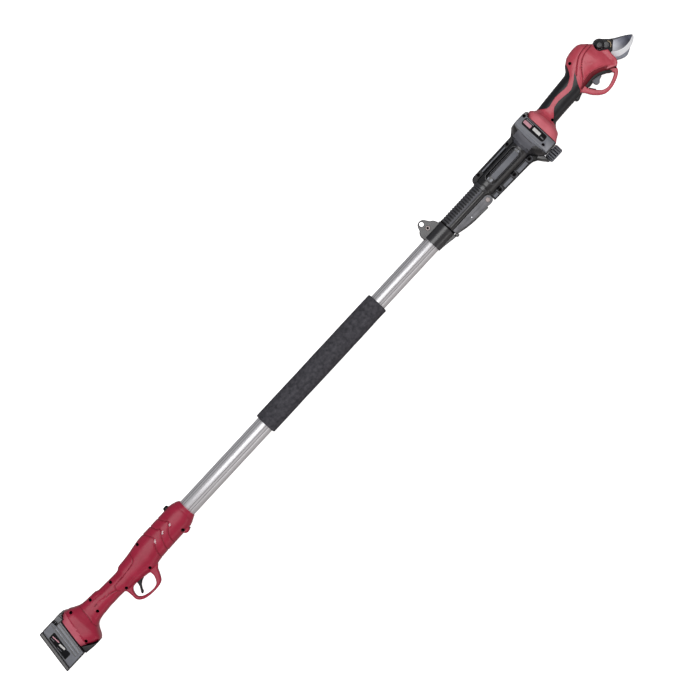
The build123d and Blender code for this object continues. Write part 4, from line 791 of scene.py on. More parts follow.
def battery():
    p = Piece("battery_body")
    p.add_mesh(prism(rounded(quad(-692.0, -657.0, 37.0, -39.6), 2.5), -36.5, 36.5, 2.2, res=3), GREY)
    # shoulder and tongue
    p.add_mesh(prism(rounded([(-676, 36.9), (-656.4, 36.9), (-649.4, 33.0), (-654.2, 31.2), (-657.2, 25.4),
                              (-668, 25.4)], 0.8), -36.0, 36.0, 1.0), BLACK)
    # pocket for the button
    p.cut(block([(-673.5, 25.3), (-656.9, 25.3), (-656.9, 40), (-673.5, 40)], -40, 40))
    # tongue in the foot
    o = lambda d, u: (d * CA + u * SA, -d * SA + u * CA)
    uc = (6.6 + -657.0 * SA) / CA
    p.add_mesh(prism([o(-658, uc - 26.5), o(-658, uc + 20), o(-648.6, uc + 20), o(-648.6, uc - 26.5)], -24, 24, 0.6), BLACK)
    # label pocket and slanted grooves, front and back
    for s in (1, -1):
        z0, z1 = (35.7, 40.0) if s > 0 else (-40.0, -36.4)
        if s > 0:
            p.cut(block(rounded([(-697, 22), (-682, 22), (-690.5, -24), (-705, -24)], 3), z0, z1))
        cuts = [block(slant_box(d0, d1, -33.0, 33.0), *((35.6, 40) if s > 0 else (-40, -35.6)))
                for d0, d1 in ((-673.4, -671.2), (-667.4, -665.2), (-661.6, -659.6))]
        p.cut(join(*cuts))
    # lighter grey ribs between the slanted grooves: painted highlight along the ribs
    ribs = []
    for d0, d1 in ((-670.9, -669.5), (-664.9, -663.6)):
        ribs.append(prism(rounded(slant_box(d0, d1, -32.0, 24.0), 0.5), 35.0, 36.98, 0.4))
        ribs.append(prism(rounded(slant_box(d0, d1, -32.0, 24.0), 0.5), -36.98, -35.0, 0.4))
    p.add_mesh(join(*ribs), GREY_LIGHT)

    # black where the pack's shell is black; the band along the top edge and the floors of the grooves and label pocket
    # are painted shade
    def dark(x, y, z, nx, ny, nz):
        d = x * CA - y * SA
        return (d > -658.2) | (y > 34.2) | (y < -36.6) | ((np.abs(nz) < 0.3) & (np.abs(z) < 35.0)) | \
            ((d > -664.0) & (y < -21.5)) | ((np.abs(z) < 36.1) & (np.abs(z) > 35.4) & (np.abs(nz) > 0.7))
    p.paint(BLACK, dark)
    # screw bosses and rib relief on the far end faces are left plain; terminals stay CAD
    p.done("battery", ["battery_case"], 30)

    b = Piece("battery_band")
    b.add_mesh(prism(rounded(quad(-699.0, -692.05, 37.0, -39.6), 2.5), -37.0, 37.0, 2.0, res=3), BLACK)
    cells = []
    for u in (-25.0, 25.0):
        for z in (-25.0, 25.0):
            cells.append((u, z))
    b.done("battery", ["battery_base"], 30)

    # label plate with plain colour patches
    lb = Piece("battery_label_plate")
    lb.add_mesh(prism(rounded([(-696.4, 21.4), (-682.8, 21.4), (-691.0, -23.4), (-704.2, -23.4)], 2.6),
                      35.75, 36.2, 0.15), LABEL_DARK)

    def patch(pts, mat, z=36.32):
        lb.add_mesh(prism(rounded(pts, 0.9), 36.15, z, 0.05), mat)
    patch([(-694.5, 18.5), (-693.4, 18.5), (-693.4, 11.3), (-694.5, 11.3)], LABEL_GREY)
    patch([(-690.9, 18.8), (-689.0, 18.8), (-689.0, 3.6), (-690.9, 3.6)], LABEL_PINK)
    patch([(-693.6, 1.6), (-690.2, 1.6), (-690.2, -11.2), (-693.6, -11.2)], LABEL_WHITE)
    patch([(-698.4, 0.6), (-697.6, 0.6), (-697.6, -9.4), (-698.4, -9.4)], LABEL_GREY)
    patch([(-690.2, -13), (-689.0, -13), (-689.0, -19), (-690.2, -19)], LABEL_GREY)
    lb.done("battery", ["battery_label"], 30)

    k = Piece("release_bar")
    k.add_mesh(prism(rounded([(-668, 25.7), (-657.5, 25.7), (-657.5, 36.4), (-668, 36.4)], 1.2), -36.4, 36.4, 0.8, res=2),
               BLACK)
    ridges = []
    for yy in (28.4, 30.6, 32.8):
        for zz in ((36.2, 36.9), (-36.9, -36.2)):
            ridges.append(prism(rounded([(-666.8, yy - 0.6), (-658.8, yy - 0.6), (-658.8, yy + 0.6), (-666.8, yy + 0.6)], 0.4),
                                zz[0], zz[1], 0.25))
    for zz in np.arange(-30, 31, 3.75):
        ridges.append(prism(rounded([(-666.5, 36.0), (-659.0, 36.0), (-659.0, 36.95), (-666.5, 36.95)], 0.3),
                            zz - 0.7, zz + 0.7, 0.3))
    k.add_mesh(join(*ridges), GREY)
    k.done("battery_button", ["release_button"], 30)


battery()


def bumper():
    p = Piece("foot_heel")
    p.add_mesh(prism(rounded([(-664.5, -32.4), (-655, -39.0), (-649.5, -41.6), (-643.5, -42.6), (-642.6, -43.6), (-645, -44),
                              (-656, -43.6), (-673.2, -41.2), (-672.3, -35.0), (-670.9, -27.4)], 0.7), -30, 30, 0.9, res=2), BLACK_DEEP)
    p.done("handle", ["foot_bumper"], 30)


bumper()

# ============================================================ grip trigger
TRIGGER = [(-528.5, -13.4), (-513.6, -13.4), (-512.6, -20), (-514, -24.4), (-516.6, -25.6),
           (-524, -28.2), (-528, -31.2), (-531.5, -35.6), (-534.4, -41.6), (-536.6, -43.4), (-539.0, -43.0),
           (-539.4, -41.0), (-537, -37), (-533.4, -32), (-531.6, -27), (-531.0, -20)]


def triggers():
    p = Piece("trigger_grip")
    p.add_mesh(prism(rounded(TRIGGER, 1.6), -4.8, 4.8, 1.5, [circle((-521.0, -17.6), 1.6, 20)], 4), BLACK_DEEP)
    grooves = []
    for k in range(4):
        t = k / 3
        x, y = -522.5 - 9.5 * t, -27.8 - 10.5 * t ** 1.15
        grooves.append(prism(rounded([(x - 1.2, y - 0.2), (x + 1.2, y + 0.9), (x + 0.9, y + 1.3), (x - 1.5, y + 0.2)], 0.2), -4.95, 4.95, 0.1))
    p.done("grip_trigger", ["grip_trigger"], 40)
    q = Piece("trigger_shear")
    q.add_mesh(prism(rounded([(605, -7.6), (624, -7.2), (627.5, -7.4), (629.4, -10), (628.6, -14.6), (626.6, -17.4),
                              (620.8, -18.6), (616.2, -22.6), (611.8, -22.2), (609.2, -18.6), (609.4, -14.2), (604.6, -10.4)], 1.5),
                     -4.7, 4.7, 1.4, [circle((625.5, -9.8), 1.36, 18)], 4), GREY)
    q.done("shear_trigger", ["shear_trigger"], 40)


triggers()


def bolt():
    p = Piece("dome_bolt")
    dome = [(0, -4.2 + 0.0)]
    prof = [(0, 28.3), (2.0, 28.3), (2.3, 29.5), (2.9, 29.4)]
    for t in np.linspace(0.25, 1, 8):
        a = t * math.pi / 2
        prof.append((2.6 + 2.6 * math.sin(a), 25.4 + 4.0 * math.cos(a)))
    prof += [(6.0, 25.3), (6.0, 24.75), (3.0, 24.7), (3.0, -26.0), (0, -26.0)]
    p.add_mesh(lathe(prof, 48, place(-407, 0, 0, "Y")), BLACK_DEEP)
    p.done("handle", ["cross_bolt"], 35)


bolt()


# ============================================================ clamp collar
def collar():
    p = Piece("pinch_collar")
    body = lathe([(15.06, 225.0), (16.6, 225.0), (17.0, 225.5), (17.0, 261.4), (16.6, 261.9), (15.9, 262.1), (15.9, 263.9), (15.06, 263.9)],
                 96, place(0, 0, 0, "X"))
    p.add_mesh(body, BLACK)
    lug = prism(rounded([(226, 9), (221, 14), (221, 23), (224, 28), (228, 31), (253, 28), (257, 23), (259.3, 15),
                         (258, 9)], 2.0), -8, 8, 1.2, [circle((239.5, 23.5), 2.7, 24)], 3)
    p.cut(lug, "UNION")
    keel = prism(rounded([(226, -12), (226, -16.8), (240, -18.2), (257, -21.0), (262.3, -21.6), (262.3, -12)], 1.0), -6, 6, 1.0, res=2)
    p.cut(keel, "UNION")
    bore = lathe([(0, 210), (15.08, 210), (15.08, 275), (0, 275)], 96, place(0, 0, 0, "X"))
    p.cut(bore)
    p.cut(block([(210, 5), (210, 50), (275, 50), (275, 5)], -0.75, 0.75))
    p.cut(block(circle((239.5, 23.5), 4.8, 36), 4.5, 20))
    hexn = [(239.5 + 4.75 * math.cos(math.radians(60 * i)), 23.5 + 4.75 * math.sin(math.radians(60 * i))) for i in range(6)]
    p.cut(block(hexn, -20, -5))
    tab = prism(smooth_curve([(224, 27), (227, 31), (229, 36), (232, 40), (237, 41.5), (243, 40), (247, 35), (250, 30),
                              (252, 27)], 5), 0.78, 7.95, 1.1, [circle((237.0, 35.5), 4.0, 36)], 3)
    p.cut(tab, "UNION")
    # dark lip where the collar meets the sleeve: painted shade between the parts
    p.paint(RECESS_SHADE, lambda x, y, z, nx, ny, nz: (x > 262.15) & (np.hypot(y, z) < 16.4))
    p.done("upper_pole", ["clamp_collar"], 32)
    s = Piece("collar_socket_screw")
    hexs = [(0, 6.2)]
    prof = [(0, 6.2), (2.1, 6.2), (2.1, 8.7), (3.7, 8.95), (4.3, 8.3), (4.3, 4.6), (2.5, 4.6), (2.5, -8.4), (0, -8.4)]
    s.add_mesh(lathe(prof, 40, place(239.5, 23.5, 0)), RIVET)
    # dark hex socket: painted shade in the recess
    s.paint(RECESS_SHADE, lambda x, y, z, nx, ny, nz: (np.hypot(x - 239.5, y - 23.5) < 2.3) & (z > 5))
    s.done("upper_pole", ["collar_screw"], 35)


collar()


# ============================================================ ribbed sleeve, lever
def sleeve():
    n, x0, x1 = 120, 264.0, 440.0
    xs = np.concatenate([[x0, x0 + 0.6], np.arange(x0 + 1.2, 352, 0.55), [356, 400, x1 - 0.5, x1]])
    a = np.arange(n) * 2 * math.pi / n          # from +Z to +Y
    y_unit = np.sin(a)
    v = []
    for x in xs:
        ph = (x - 266.4) / 5.3
        inrib = 265.5 < x < 349.0
        prof = step(np.array(0.3 - abs(ph - round(ph))), 0.14) if inrib else 0.0
        on_top = step(y_unit * 16 - 2.6, 1.2)
        on_back = on_top
        r = 16.0 - (0.8 * (1 - prof) * on_top if inrib else 0.0)
        strip = np.exp(-((y_unit * 16 + 3.4) / 0.7) ** 2) * (np.abs(np.cos(a)) > 0.2)
        r = r - (0.6 * strip if inrib else 0.0) - (0.5 if x in (x0, x1) else 0.0)
        r = np.broadcast_to(r, (n,))
        v += [(float(x), float(r[i] * math.sin(a[i])), float(r[i] * math.cos(a[i]))) for i in range(n)]
    N = len(xs)
    for x, ri in ((x1, 15.05), (x0, 15.05)):
        v += [(x, ri * math.sin(t), ri * math.cos(t)) for t in a]
    f, rows = [], N + 2
    for i in range(rows):
        b = (i + 1) % rows
        for j in range(n):
            k = (j + 1) % n
            f.append((i * n + j, b * n + j, b * n + k, i * n + k))
    p = Piece("ribbed_tube")
    p.add(v, f, BLACK)
    p.paint(GREY_DARK, lambda x, y, z, nx, ny, nz: (x > 266) & (x < 348.6) & (y > 3.4) & (np.hypot(y, z) > 15.75))
    # lighter grey strip along the sleeve below the ribs: painted highlight
    p.paint(GREY_HIGHLIGHT, lambda x, y, z, nx, ny, nz: (x > 265) & (x < 349) & (y > -1.6) & (y < 2.6) & (np.hypot(y, z) > 15.6))
    p.add_mesh(prism(rounded([(336, -14.2), (336, -22), (339, -25.6), (347, -25.6), (350.2, -22), (350.2, -14.2)], 1.5),
                     -8, 8, 0.8, [circle((343, -18), 2.56, 24)], 2), BLACK)
    p.done("upper_pole", ["ribbed_sleeve"], 30)

    lv = Piece("lever_side_plates")
    out = rounded([(265.0, -10.7), (336.0, -10.7), (343.0, -10.5), (347.5, -11.8), (350.4, -15.0), (351.2, -18.5),
                   (350.4, -22.5), (347.5, -25.6), (343.0, -26.6), (333.0, -25.6), (320.0, -24.4), (305.0, -23.7),
                   (295.0, -22.7), (285.0, -21.2), (275.0, -18.9), (265.0, -16.4)], 1.2)
    hole = [circle((343, -18), 2.55, 24), circle((303, -18.5), 1.4, 18)]
    for z0, z1 in ((12.6, 14.2), (-14.2, -12.6)):
        lv.add_mesh(prism(out, z0, z1, 0.4, hole, 2), LEVER)
    # a raised rib along each plate
    for z0, z1 in ((14.0, 14.75), (-14.75, -14.0)):
        lv.add_mesh(prism(rounded([(270, -13.0), (332, -13.0), (335, -15.0), (332, -16.4), (272, -15.2)], 0.8), z0, z1, 0.35), LEVER)
    lv.done("lock_lever", ["lever_plates"], 30)

    lc = Piece("lever_grip")
    lc.add_mesh(prism(rounded([(265.5, -17.0), (334.0, -17.0), (334.0, -28.2), (320.0, -27.4), (305.0, -26.9), (295.0, -25.9),
                               (285.0, -24.4), (275.0, -22.0), (266.0, -19.6)], 0.8), -12.5, 12.5, 0.9, res=2), BLACK)
    lc.add_mesh(prism(rounded([(262.5, -17.0), (266.5, -17.0), (268.0, -20.2), (268.0, -23.5), (264.6, -24.2), (262.5, -22.4)],
                              1.0), -10, 10, 1.0, res=2), BLACK)
    for sz in (1, -1):
        lc.add_mesh(prism(circle((303, -18.5), 1.3, 20), min(12.4 * sz, 14.6 * sz), max(12.4 * sz, 14.6 * sz), 0.4), STEEL)
    lc.done("lock_lever", ["lever_core"], 30)

    rv = Piece("lever_rivet_pin")
    prof = [(0, -16.4), (3.4, -16.4), (4.2, -15.5), (4.2, -14.25), (2.5, -14.25), (2.5, 14.25), (4.2, 14.25), (4.2, 15.5),
            (3.5, 16.35), (2.2, 16.45), (1.9, 15.9), (0, 15.8)]
    rv.add_mesh(lathe(prof, 40, place(343, -18, 0)), RIVET)
    rv.done("lock_lever", ["lever_rivet"], 35)


sleeve()

# ============================================================ adapter
ADAPTER_SCREWS = [(370, -21.4), (405, -21.9), (441.5, -22.4), (363, 21.8), (434, 21.8)]
ADAPTER = [(347.5, 17.6, -7.8, 17.6), (351.8, 17.6, -7.8, 17.6), (352.0, 17.8, -17.8, 17.8), (354.8, 17.8, -17.8, 17.8),
           (355.4, 19.0, -19.0, 19.0), (443.5, 19.2, -19.2, 19.2), (449.0, 24.0, -24.0, 23.0),
           (456.0, 31.5, -33.0, 31.0), (462.0, 36.2, -37.2, 36.2), (463.6, 36.2, -37.2, 36.2)]


def adapter_expo(x):
    return np.interp(x, [347, 443, 452, 460], [2.0, 2.1, 3.4, 6.0])


def adapter_disp(x, y, z):
    d = np.zeros_like(x)
    for pts, w, dep in (
        ([(353.5, -20), (353.5, 20)], 1.0, 0.9),
        ([(358, 20), (358, 12), (366, 8)], 0.7, 0.4),
        ([(446, 26), (446, -26)], 0.8, 0.35),
    ):
        d += dep * np.exp(-(seg_dist(x, y, pts) / w) ** 2)
    return d


def stadium(x0, x1, y0, y1, r=None, n=9):
    r = r or (y1 - y0) / 2
    pts = []
    for cx, cy, a0 in ((x1 - r, y1 - r, 0), (x0 + r, y1 - r, 90), (x0 + r, y0 + r, 180), (x1 - r, y0 + r, 270)):
        for t in np.linspace(a0, a0 + 90, n):
            pts.append((cx + r * math.cos(math.radians(t)), cy + r * math.sin(math.radians(t))))
    return pts


def adapter_piece(side):
    p = Piece("adapter_front" if side > 0 else "adapter_back")
    xs = np.concatenate([[352.0], np.arange(352.6, 443, 2.0), np.arange(443, 463.4, 0.9), [463.7]])
    tab = [(x, t, b if x > 352.5 or True else b, h) for x, t, b, h in ADAPTER if x >= 352.0]
    p.add_mesh(loft(tab, xs, side, adapter_expo, 2.2, adapter_disp, m=48, soft=0.5), BLACK)
    # inner rim ring round the sleeve, cut away under the lever
    rim = Piece("r")
    rim.add_mesh(lathe([(16.1, 347.2), (18.2, 347.2), (18.9, 348.0), (18.9, 352.6), (16.1, 352.6)], 80, place(0, 0, 0, "X")), BLACK)
    rim.cut(block([(340, -8), (351.8, -8), (351.8, -32), (340, -32)], -30, 30))
    rim.half(side)

    def take(q):
        q.bm.verts.index_update()
        vs = [tuple(v.co) for v in q.bm.verts]
        fs = [[v.index for v in f.verts] for f in q.bm.faces]
        q.bm.free()
        return vs, fs
    # flange web with its notches and screw scoops
    web = Piece("w")
    web.add_mesh(prism(rounded([(348.8, 12), (347.6, 15.0), (347.6, 18.6), (349.2, 22.4), (352.4, 25.0), (356, 26), (448, 26), (455, 31),
                                (461, 35.5), (461.5, 30), (452, 12), (452, -12), (461, -30), (462.2, -48), (459, -46),
                                (455, -42), (450, -35), (443, -31), (436, -29.8), (352.2, -27.4), (352.2, -12)], 0.9),
                       -7.5, 7.5, 1.3, res=3), BLACK)
    web.cut(lathe([(0, 340), (16.1, 340), (16.1, 458), (0, 458)], 72, place(0, 0, 0, "X")))
    s = side
    zr = (4.4, 20) if s > 0 else (-20, -4.6)
    scoops = []
    for cx, cy in ADAPTER_SCREWS:
        if cy < 0:
            ring = [(cx - 4.4, cy + 5.5), (cx - 4.4, cy)] + [
                (cx + 4.4 * math.cos(t), cy + 4.4 * math.sin(t)) for t in np.linspace(math.pi, 2 * math.pi, 13)] + [
                (cx + 4.4, cy + 5.5)]
        else:
            ring = circle((cx, cy), 3.1, 28)
        scoops.append(block(ring, *zr))
    web.cut(join(*scoops))
    # shallow top flange notches and long grooves
    zc = (6.6, 20) if s > 0 else (-20, -6.6)
    web.cut(join(*[block(stadium(x0, x1, y0, y1, 0.7), *zc) for x0, x1, y0, y1 in
                   ((371, 428, 22.6, 23.8), (371, 428, 17.8, 19.0), (440, 446, 19.5, 24.0))]))
    web.half(side)
    p.add_mesh(take(web), BLACK_DEEP)
    p.add_mesh(take(rim), BLACK)
    # grey strips on the lower flange and one on the upper: painted highlight where the flange faces catch the light
    for x0, x1 in ((354.0, 362.8), (378.5, 398.2), (412.0, 434.0)):
        w0 = -25.3 - 0.02 * (x0 - 354)
        p.add_mesh(prism(rounded([(x0, -20.2), (x1, -20.4), (x1, w0), (x0, w0 + 0.1)], 0.8),
                         *((7.2, 8.2) if s > 0 else (-8.2, -7.2)), 0.3), GREY)
    p.add_mesh(prism(stadium(371, 428, 19.8, 21.9, 0.8), *((7.2, 8.2) if s > 0 else (-8.2, -7.2)), 0.3), GREY)
    zs = (7.0, 8.9) if s > 0 else (-8.9, -7.0)
    # lighter U-shaped rims round the lower screw scoops: painted highlight on their edges
    for cx, cy in ADAPTER_SCREWS:
        if cy < 0:
            arc = np.linspace(math.pi, 2 * math.pi, 13)
            u = [(cx - 5.5, cy + 4.5)] + [(cx + 5.5 * math.cos(t), cy + 5.5 * math.sin(t)) for t in arc] + [(cx + 5.5, cy + 4.5)]
            u += [(cx + 4.0, cy + 4.5)] + [(cx + 4.0 * math.cos(t), cy + 4.0 * math.sin(t)) for t in arc[::-1]] + [(cx - 4.0, cy + 4.5)]
            p.add_mesh(prism(u, *zs, 0.4), GREY_HIGHLIGHT)
    # raised stadium frame with a lighter inner panel on the barrel's face
    zf = (14.5, 19.9) if s > 0 else (-19.9, -14.5)
    frame_ring = prism(stadium(364.0, 440.5, -9.4, 13.4, 7.5), *zf, 0.7, [stadium(366.0, 438.6, -7.8, 11.8, 6.2)], 3)
    p.add_mesh(frame_ring, BLACK_GLOSS)
    zi = (15.2, 19.55) if s > 0 else (-19.55, -15.2)
    p.add_mesh(prism(stadium(374.5, 434.0, -4.6, 5.4, 1.6), *zi, 0.5, res=2), GREY)
    # light grey bits at both ends of the panel: painted glints on the chamfered ends
    for x0, x1 in ((367.0, 373.2), (435.2, 438.8)):
        p.add_mesh(prism(stadium(x0, x1, -2.4, 1.6, 1.4), *((17.0, 19.85) if s > 0 else (-19.85, -17.0)), 0.5, res=3), GREY_LIGHT)
        p.add_mesh(prism(stadium(x0, x1 - 1, 4.4, 6.8, 0.9), *((17.0, 19.5) if s > 0 else (-19.5, -17.0)), 0.5, res=3), GREY_LIGHT)
    for k, y in enumerate((7.2, 9.4, -6.2)):
        p.add_mesh(prism(stadium(376 + k, 433, y - 0.45, y + 0.45), *((15.2, 19.3) if s > 0 else (-19.3, -15.2)), 0.3), GREY_DARK)
    # wing behind the knob
    wing = Piece("v")
    wing.add_mesh(prism(rounded([(449, -31), (455, -41.5), (462.2, -51.3), (462.2, -30), (456, -28)], 1.4), -15, 15, 1.6, res=3), BLACK)
    wing.half(side)
    p.add_mesh(take(wing), BLACK)
    # painted light down the flaring neck: a shaded band, then a mid and a bright painted highlight band
    for mat, a, b in ((NECK_LOW, 438, 444), (GREY_HIGHLIGHT, 444, 448.5), (NECK, 448.5, 461.5)):
        p.paint(mat, lambda x, y, z, nx, ny, nz: (x - 0.12 * np.abs(y - 6) > a - 1) & (x < b) & (y > -13) & (y < 24) & (z * side > 12)
                & (nz * side > 0.2) & (np.hypot(y, z) > 17.5) & ((x > 443) | (y > 13.6)))
    node = "adapter_front_shell" if side > 0 else "adapter_back_shell"
    return p.done("upper_pole", [node], 30)


adapter_piece(1)
adapter_piece(-1)


def head():
    p = Piece("head_block")
    p.add_mesh(prism(rounded([(464.2, 36.9), (464.2, -37.9), (488.5, -37.9), (488.5, 36.9)], 2.4), -37, 37, 2.2, res=3), GREY)
    p.add_mesh(prism(rounded([(482, 36.6), (491.5, 36.0), (495.0, 32.4), (491.4, 30.4), (488.7, 27.2), (482, 27.2)], 0.9),
                     -36, 36, 1.0, res=2), GREY_DARK)
    p.add_mesh(prism([(487, -28.9), (487, 26), (495.1, 26), (495.1, -28.9)], -24, 24, 0.6), BLACK)
    p.cut(block(rounded([(472, 28.9), (486.8, 28.9), (486.8, -20.3), (472.6, -20.3)], 5.0), 36.0, 40))
    p.cut(join(block(circle((485.0, 32.7), 2.9, 28), 34.2, 40), block(circle((471.4, -23.4), 2.9, 28), 34.2, 40)))
    p.cut(join(block([(465.6, -40), (466.5, -40), (466.5, 40), (465.6, 40)], 36.4, 40),
               block([(465.6, -40), (466.5, -40), (466.5, 40), (465.6, 40)], -40, -36.4)))
    p.cut(lathe([(0, -45), (5.1, -45), (5.1, -24), (0, -24)], 40, place(477, 0, 0, "Y")))

    # black on the sides and the bottom band; the rim below the face and the floors of its recesses are painted shade
    def dark(x, y, z, nx, ny, nz):
        return (y < -28.0) | ((np.abs(nz) < 0.4) & (np.abs(z) < 34.0)) | \
            ((z > 33) & (z < 36.2) & (nz > 0.5))
    p.paint(BLACK, dark)
    # dark discs in the screw holes: painted shade
    for c in ((485.0, 32.7), (471.4, -23.4)):
        p.add_mesh(prism(circle(c, 2.8, 28), 34.0, 35.4, 0.2), RECESS_SHADE)
    bow = smooth_curve([(465.5, 36.2), (463.4, 30), (462.0, 18), (461.4, 2), (462.2, -14), (464.4, -27.4)], 6)
    p.add_mesh(prism(bow + [(470, -27.6), (470, 36.4)], 32.0, 36.6, 1.2, res=3), GREY)
    p.add_mesh(prism([(x - 1.6, y * 1.01) for x, y in bow] + [(468, -28.4), (468, 36.6)], 30.0, 35.2, 1.0, res=2), BLACK)
    p.add_mesh(lathe([(0, -38.75), (11.4, -38.75), (11.9, -38.3), (11.9, -30), (0, -30)], 48, place(477, 0, 0, "Y")), BLACK)
    p.done("upper_pole", ["adapter_head"], 30)

    lb = Piece("head_label_plate")
    lb.add_mesh(prism(rounded([(472.5, 28.4), (486.3, 28.4), (486.3, -19.8), (473.1, -19.8)], 4.6), 36.05, 36.5, 0.15), LABEL_DARK)

    def patch(pts, mat, z=36.62):
        lb.add_mesh(prism(rounded(pts, 0.9), 36.45, z, 0.05), mat)
    patch([(476.0, 27.0), (482.0, 27.0), (482.0, 11.4), (476.0, 11.4)], LABEL_PINK)
    patch([(477.4, 7.4), (483.0, 7.4), (483.0, -8.6), (477.4, -8.6)], LABEL_WHITE)
    patch([(477.2, -11.4), (479.2, -11.4), (479.2, -17.4), (477.2, -17.4)], LABEL_GREY)
    patch([(483.4, 26.0), (485.2, 26.0), (485.2, 10.0), (483.4, 10.0)], LABEL_GREY)
    lb.done("upper_pole", ["adapter_label"], 30)

    kn = Piece("thumb_knob")

    def lobes(r, h, a):
        if r < 11 or abs(h) > 54.2:
            return r
        return r - 1.9 * (0.5 - 0.5 * math.cos(16 * a)) ** 2 * (1 if 40.6 < abs(h) < 53.6 else 0.4)
    prof = [(3.02, -43.9), (3.02, -39.0), (11.6, -39.0), (12.6, -39.4), (13.9, -41.0), (14.0, -43.5), (14.0, -51), (13.9, -53.0),
            (12.4, -54.7), (11.4, -55.0), (8.2, -55.0), (7.6, -54.4), (0, -54.4), (0, -43.9)]
    prof = [(0, -54.4), (7.6, -54.4), (8.2, -55.0), (11.4, -55.0), (12.4, -54.7), (13.9, -53.0), (14.0, -51), (14.0, -47), (14.0, -43.5),
            (13.9, -41.0), (12.6, -39.4), (11.6, -39.0), (3.02, -39.0), (3.02, -43.9), (0, -43.9)]
    kn.add_mesh(lathe(prof, 192, place(477, 0, 0, "Y"), lobes), GREY)
    # dark valleys between the knob's lobes: painted shade
    kn.paint(RECESS_SHADE, lambda x, y, z, nx, ny, nz: (y > -53.4) & (y < -40.8) & (np.hypot(x - 477, z) < 13.0) & (np.hypot(x - 477, z) > 11))
    kn.done("clamp_knob", ["clamp_knob"], 40)


head()

# ============================================================ shear
SHEAR = [
    (489.3, 27.0, -38.0, 35.5), (495.0, 31.0, -34.0, 35.5), (501.0, 31.0, -31.0, 35.0), (505.0, 27.4, -28.8, 32.0),
    (509.0, 24.2, -22.0, 26.0), (513.0, 23.5, -16.6, 21.5), (518.0, 24.0, -13.2, 19.5), (530.0, 25.0, -12.8, 18.8),
    (550.0, 26.5, -12.3, 18.8), (575.0, 28.0, -12.0, 19.2), (585.0, 28.6, -11.6, 20.0), (591.0, 31.6, -11.5, 20.6),
    (598.0, 40.0, -11.2, 21.4), (608.0, 46.8, -10.6, 22.0), (618.0, 49.4, -10.4, 22.5), (630.0, 50.0, -14.5, 22.4),
    (637.0, 49.0, -18.6, 22.0), (642.0, 46.2, -21.4, 21.0), (646.0, 42.4, -24.0, 19.6), (650.0, 38.6, -26.0, 18.0),
    (653.0, 35.2, -26.4, 16.6), (656.0, 31.0, -24.2, 15.2),
]
SHEAR_GUARD_OUT = [
    (582, -6), (584, -12), (588, -17), (592, -25), (597.4, -32), (603, -37.4), (611, -42.0), (619, -43.2),
    (629, -42.2), (641.2, -38.4), (649.4, -33.8), (654.4, -28), (655, -22), (644, -10), (600, -2),
]
SHEAR_GUARD_IN = [
    (596, -12), (599, -18), (603, -25), (607, -30), (613, -35), (622, -37), (632, -35), (640, -32),
    (645.5, -28.6), (643, -24.4), (637, -19.4), (630, -15.3), (618, -11), (606, -11.4),
]
UPPER_PAD = [(505, 40), (512, 23), (514, 21), (517, 18), (522, 13.5), (527, 12.5), (535, 14), (545, 16), (553, 15.5),
             (565, 14), (573, 14), (580, 17), (588, 22), (592, 27), (596.5, 35), (600, 44)]
LOWER_PAD = [(511.5, -24), (512.5, -10.5), (516, -8), (522, -3), (527, 2), (533, 6), (545, 7.5), (555, 6.5), (565, 5),
             (573, 5), (580, 8), (588, 13), (594, 18), (601, 22), (597, 18), (592, 10), (588, 4), (585, -3),
             (583, -8), (580, -10), (579, -24)]
SHEAR_SCREWS = [(604, 36.5), (632, 42.6), (514.6, -6.5), (514.0, 15.0)]
LINE_A = smooth_curve([(596, 14), (600, 18), (605, 22), (610, 26), (617, 31), (627, 35), (640, 36.5), (652, 36)])
LINE_B = smooth_curve([(592, -4), (597, 0), (603, 6), (608, 13), (615, 20), (625, 27), (635, 30), (653, 31)])
UNDER = smooth_curve([(578, -9), (590, -3), (600, 0), (612, 1.5), (622, 0), (635, -5), (645, -12), (650, -17), (654, -24)])


def shear_expo(x):
    return np.interp(x, [495, 506, 516, 580, 610, 645, 656], [5.0, 3.6, 2.6, 2.6, 2.7, 2.6, 2.4])


def shear_disp(x, y, z):
    d = np.zeros_like(x)
    d += 1.2 * np.exp(-(seg_dist(x, y, LINE_A) / 0.85) ** 2)
    d += 1.2 * np.exp(-(seg_dist(x, y, LINE_B) / 0.85) ** 2)
    # the band between the two lines stands a little proud
    band = inside(x, y, LINE_A + LINE_B[::-1])
    d -= 0.3 * step(band - 1.2, 1.2)
    # underside of the head is set back
    below = inside(x, y, UNDER + [(654, -60), (578, -60)])
    d += 2.6 * step(below, 1.2) * step(x - 584, 5)
    # facet along the foot
    lip = np.interp(y, [-40, -22, -10, 10, 25, 40], [507, 508, 509.5, 509, 505, 504])
    d -= 0.6 * step(lip - 2.2 - x, 1.4)
    d += 0.4 * np.exp(-((x - lip) / 0.9) ** 2)
    d += 0.4 * np.exp(-(seg_dist(x, y, [(628, 11), (622, 19), (624, 24)]) / 1.2) ** 2)
    return d


def pad_disp(x, y, z):
    d = np.zeros_like(x)
    # soft ribs across the palm
    for k in range(7):
        cx = 536 + 6.0 * k
        d += 0.32 * np.exp(-((x - cx - 0.12 * y) / 0.8) ** 2) * step(np.abs(y - 6.5) - 13.0, 2.0)
    return d


